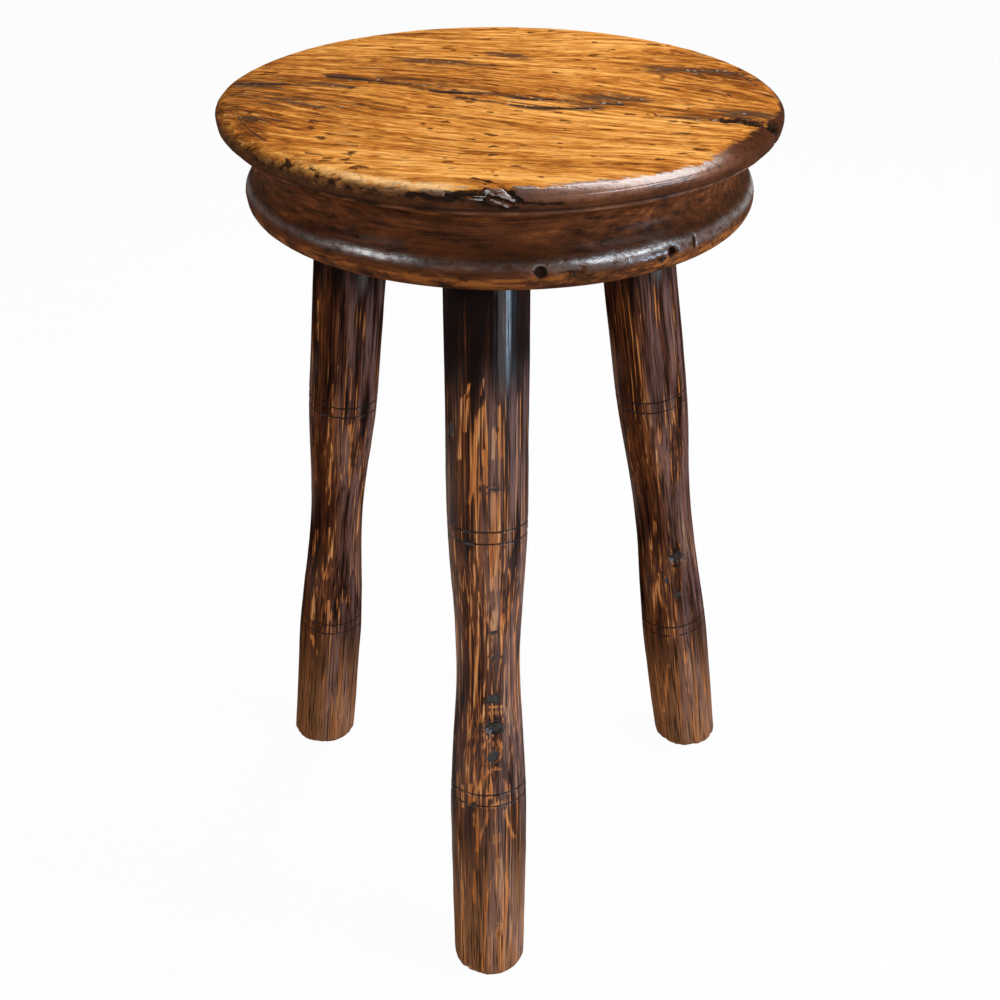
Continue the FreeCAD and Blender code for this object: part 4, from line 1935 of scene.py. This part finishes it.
def stool_legs() -> list[Leg]:
    """List the legs, each turned by eye and so a little different.

    Returns:
        The front, rear left and rear right leg.
    """
    front = Leg(
        name="front", socket_bearing=-91.7, belly_radius=20.8, waist_radius=17.1, waist_height=191.0,
        swell_radius=21.1, scores=(268.8, 114.4), pith=(4.0, 36.0), lit_side_bearing=-82.0, seed=2.3,
        knots=(
            Knot(157.6, -77.8, 4.8, 7.0, 1.7), Knot(295.5, -79.0, 2.0, 5.5, 0.9, 0.6),
            Knot(198.9, -76.9, 2.4, 2.2, 0.6, 0.6), Knot(214.5, -77.1, 1.4, 3.4, 0.7, 0.9),
            Knot(174.7, -77.2, 3.4, 4.6, 1.0, 1.0), Knot(324.3, -145.7, 4.0, 3.2, 0.9, 0.7),
            Knot(141.0, -80.0, 4.2, 4.8, 0.9, 0.9), Knot(29.2, -72.9, 3.8, 2.2, 0.7, 0.0),
        ),
        rubs=(
            Rub(((342, -123), (311, -127)), 1.6), Rub(((342, -114), (326, -117)), 1.3),
            Rub(((353, -93), (345, -96))),
            Rub(((338, -96), (322, -102), (302, -106), (288, -114)), 1.4),
            Rub(((339, -73), (329, -70))), Rub(((327, -78), (313, -80)), 1.5),
            Rub(((325, -73), (313, -71)), 1.2), Rub(((351, -109), (341, -121))),
            Rub(((316, -92), (307, -89), (299, -93)), 1.2), Rub(((291, -75), (262, -75)), 4.6),
            Rub(((261, -75), (241, -76)), 3.0), Rub(((226, -78), (218, -78)), 3.0),
            Rub(((213, -86), (202, -87))), Rub(((215, -65), (201, -63))), Rub(((199, -86), (177, -96))),
            Rub(((198, -65), (180, -71))),
            Rub(((261, -115), (238, -114), (211, -118), (174, -123), (150, -122)), 1.0, 0.7),
            Rub(((238, -103), (202, -105), (175, -112), (155, -119)), 1.0, 0.7),
            Rub(((261, -29), (238, -26), (209, -35), (176, -31), (154, -34)), 1.0, 0.7),
            Rub(((224, -61), (205, -64)), 1.2), Rub(((194, -56), (172, -60)), 1.1),
            Rub(((162, -99), (171, -95), (170, -57), (161, -51)), 1.1),
            Rub(((167, -88), (167, -66)), 2.6, 0.7), Rub(((147, -96), (151, -88))),
            Rub(((150, -70), (146, -63))),
            Rub(((114, -111), (125, -100), (132, -88), (134, -75), (133, -67)), 1.3),
            Rub(((126, -63), (118, -57)), 1.4), Rub(((124, -83), (116, -87))),
            Rub(((111, -83), (113, -67)), 1.8), Rub(((121, -131), (108, -130)), 1.3),
            Rub(((123, -116), (111, -117)), 1.3), Rub(((106, -111), (98, -111))),
            Rub(((107, -87), (95, -97), (83, -105)), 1.3),
            Rub(((107, -63), (100, -57), (88, -46)), 1.3), Rub(((93, -79), (88, -79))),
            Rub(((94, -70), (89, -70)), 1.2), Rub(((77, -72), (68, -64), (46, -50)), 1.1),
            Rub(((66, -77), (61, -85), (51, -91), (40, -96), (5, -98)), 0.9),
            Rub(((69, -110), (48, -111))), Rub(((58, -134), (33, -135)), 0.9, 0.7),
            Rub(((38, -107), (19, -109)), 0.9, 0.7), Rub(((26, -88), (9, -88)), 1.0, 0.7),
            Rub(((33, -70), (27, -71)), 2.0),
        ))
    rear_finish = LegFinish(bare=-0.26, sheen=0.0)
    rear_left = Leg(
        name="rear_left", socket_bearing=156.5, belly_radius=19.9, waist_radius=16.0, waist_height=179.0,
        swell_radius=20.3, scores=(264.0, 100.7), pith=(30.0, 22.0), lit_side_bearing=-60.0, seed=5.1,
        finish=rear_finish,
        rubs=(
            Rub(((333, -141), (308, -137)), 1.0, 0.6), Rub(((296, -95), (268, -93)), 1.0, 0.7),
            Rub(((283, -104), (264, -101)), 1.0, 0.7), Rub(((295, -75), (274, -73)), 1.0, 0.7),
            Rub(((255, -67), (245, -67)), 2.6, 0.8), Rub(((245, -67), (207, -61)), 1.8, 0.5),
            Rub(((256, -102), (233, -101), (196, -103)), 1.2, 0.8),
            Rub(((253, -38), (213, -36)), 1.4, 0.6), Rub(((172, -132), (153, -139)), 2.0, 0.8),
            Rub(((178, -99), (158, -94), (140, -104)), 1.3, 0.8),
            Rub(((122, -125), (106, -121)), 1.8, 0.9), Rub(((123, -91), (109, -89)), 1.5, 0.9),
            Rub(((123, -53), (112, -60)), 3.2, 0.6), Rub(((92, -122), (78, -106)), 1.6, 0.7),
            Rub(((41, -52), (24, -53)), 1.6, 0.6),
        ))
    rear_right = Leg(
        name="rear_right", socket_bearing=37.2, belly_radius=20.7, waist_radius=17.4, waist_height=178.0,
        swell_radius=21.4, scores=(264.6, 99.0), pith=(-12.0, 34.0), lit_side_bearing=-80.0, seed=8.6,
        finish=rear_finish,
        knots=(
            Knot(154.5, -70.0, 5.0, 6.0, 1.4, 0.6), Knot(138.0, -94.7, 3.4, 1.6, 0.8),
            Knot(126.6, -76.5, 2.6, 2.6, 0.9),
        ),
        rubs=(
            Rub(((344, -77), (317, -82)), 1.2, 0.7),
            Rub(((326, -94), (287, -99), (268, -100)), 1.2, 0.7),
            Rub(((339, -28), (313, -36), (299, -26)), 1.2, 0.6),
            Rub(((288, -33), (268, -40)), 1.6, 0.8),
            Rub(((282, -67), (264, -68), (250, -68)), 1.2, 0.8),
            Rub(((271, -59), (251, -59)), 1.0, 0.7), Rub(((252, -113), (241, -115)), 2.6, 0.6),
            Rub(((249, -84), (226, -90)), 1.2, 0.7), Rub(((181, -108), (162, -123)), 3.0, 0.5),
            Rub(((142, -110), (129, -116), (117, -100)), 2.0, 0.8),
            Rub(((81, -73), (74, -73)), 1.6, 0.9), Rub(((72, -106), (31, -127)), 2.6, 0.6),
            Rub(((64, -37), (31, -36)), 1.2, 0.6), Rub(((66, -79), (48, -74)), 1.0, 0.7),
        ))
    return [front, rear_left, rear_right]


# Stage

@dataclass(frozen=True)
class Lamp:
    """A soft studio lamp: place and aim in metres, size in metres, power in watts."""

    name: str
    place: tuple[float, float, float]
    size: tuple[float, float]
    power: float
    tint: Colour = (1.0, 1.0, 1.0)
    aim: tuple[float, float, float] = (0.0, 0.0, 0.35)


@dataclass
class Stage:
    """Floor, lights and camera, which aren't part of the stool."""

    camera_bearing: float = -90.0 + VIEW_TURN
    camera_distance: float = 847.0 * MM
    camera_height: float = 707.4 * MM
    aim_height: float = 218.8 * MM
    focal_px: float = 1673.6
    axis_px: float = 499.4
    sensor_width: float = 36.0
    floor_radius: float = 5.0
    wall_height: float = 1.8
    wall_round: float = 0.8
    floor_steps: int = 96
    floor_white: float = 0.82
    floor_glow: float = 0.96
    sky_strength: float = 0.22
    lamps: tuple[Lamp, ...] = (
        Lamp("window_right", (1.25, -0.78, 1.05), (1.15, 0.36), 17.0, (0.86, 0.93, 1.0)),
        Lamp("window_back", (0.64, 0.47, 1.6), (1.6, 0.55), 17.5, (1.0, 0.98, 0.97)),
        Lamp("window_left", (-0.98, -0.69, 0.92), (0.5, 0.4), 5.0, (0.95, 0.98, 1.0)),
        Lamp("low_window", (1.3, -0.5, 0.16), (0.35, 0.3), 10.0, (0.5, 0.75, 1.0)),
    )

    def build(self) -> None:
        """Set up everything around the stool."""
        self.make_camera()
        self.make_floor()
        self.make_sky()
        for lamp in self.lamps:
            self.hang(lamp)
        bpy.context.scene.view_settings.view_transform = "Standard"

    def make_camera(self) -> None:
        """Stand the camera where the photograph was taken from."""
        data = bpy.data.cameras.new("camera")
        data.sensor_width = self.sensor_width
        data.lens = self.focal_px / IMAGE_WIDTH_PX * self.sensor_width
        data.shift_x = 0.5 - self.axis_px / IMAGE_WIDTH_PX
        camera = bpy.data.objects.new("camera", data)
        bpy.context.scene.collection.objects.link(camera)
        bearing = math.radians(self.camera_bearing)
        middle_y = seat_top().y
        aim = Vector((0, middle_y, self.aim_height))
        towards = Vector((math.cos(bearing), math.sin(bearing), 0))
        camera.location = towards * self.camera_distance + Vector((0, middle_y, self.camera_height))
        camera.rotation_euler = (aim - camera.location).to_track_quat("-Z", "Y").to_euler()
        bpy.context.scene.camera = camera

    def make_floor(self) -> None:
        """Lay a plain pale floor, turned up at its far edge, that keeps the stool's shadow."""
        reach, round_ = self.floor_radius / MM, self.wall_round / MM
        outline = joined([
            line_points((0, 0), (reach - round_, 0), round_),
            arc_points((reach - round_, round_), round_, -90, 0, round_ / 8),
            line_points((reach, round_), (reach, self.wall_height / MM), round_),
        ])
        floor = turned_body("floor", outline, self.floor_steps)
        bpy.ops.object.shade_smooth()
        shader = Shader("pale_floor")
        white = (self.floor_white, self.floor_white, self.floor_white, 1)
        matt = shader.add("ShaderNodeBsdfDiffuse", {}, {"Color": white})
        glow = shader.add("ShaderNodeEmission", {}, {"Color": (1, 1, 1, 1), "Strength": 1.0})
        rays = shader.add("ShaderNodeLightPath", {}, {}, "Is Camera Ray")
        outputs = rays.socket.node.outputs
        glossy = Flow(shader, outputs["Is Glossy Ray"])
        transmitted = Flow(shader, outputs["Is Transmission Ray"])
        seen = rays.or_more(glossy.or_more(transmitted)) * self.floor_glow
        pale = shader.add("ShaderNodeMixShader", {}, {0: seen, 1: matt, 2: glow})
        floor.data.materials.append(shader.surface(pale))

    def make_sky(self) -> None:
        """Fill the room with even light."""
        world = bpy.data.worlds.new("studio")
        bpy.context.scene.world = world
        world.use_nodes = True
        background = world.node_tree.nodes["Background"]
        background.inputs["Color"].default_value = (1, 1, 1, 1)
        background.inputs["Strength"].default_value = self.sky_strength

    def hang(self, lamp: Lamp) -> None:
        """Hang one lamp and point it at its aim.

        Args:
            lamp: the lamp.
        """
        data = bpy.data.lights.new(lamp.name, "AREA")
        data.shape = "RECTANGLE"
        data.size, data.size_y = lamp.size
        data.energy = lamp.power
        data.color = lamp.tint
        hung = bpy.data.objects.new(lamp.name, data)
        bpy.context.scene.collection.objects.link(hung)
        hung.location = lamp.place
        hung.rotation_euler = (Vector(lamp.aim) - hung.location).to_track_quat("-Z", "Y").to_euler()
        hung.visible_camera = False


def dress_wedges() -> None:
    """Give the wedges in the tenons their bare split wood."""
    wood = WedgeFinish().material()
    for name, node in frame["nodes"].items():
        if name.startswith("wedge"):
            node.data.materials.clear()
            node.data.materials.append(wood)


def main() -> None:
    """Build the stool's looks around the frame."""
    logging.basicConfig(level=logging.INFO, format="%(message)s")
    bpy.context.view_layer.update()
    legs = stool_legs()
    pieces = [Seat().build(legs)] + [leg.build() for leg in legs]
    for piece in pieces:
        LOG.info("%s: %d faces", piece.name, len(piece.data.polygons))
    dress_wedges()
    Stage().build()


if __name__ == "__main__":
    main()
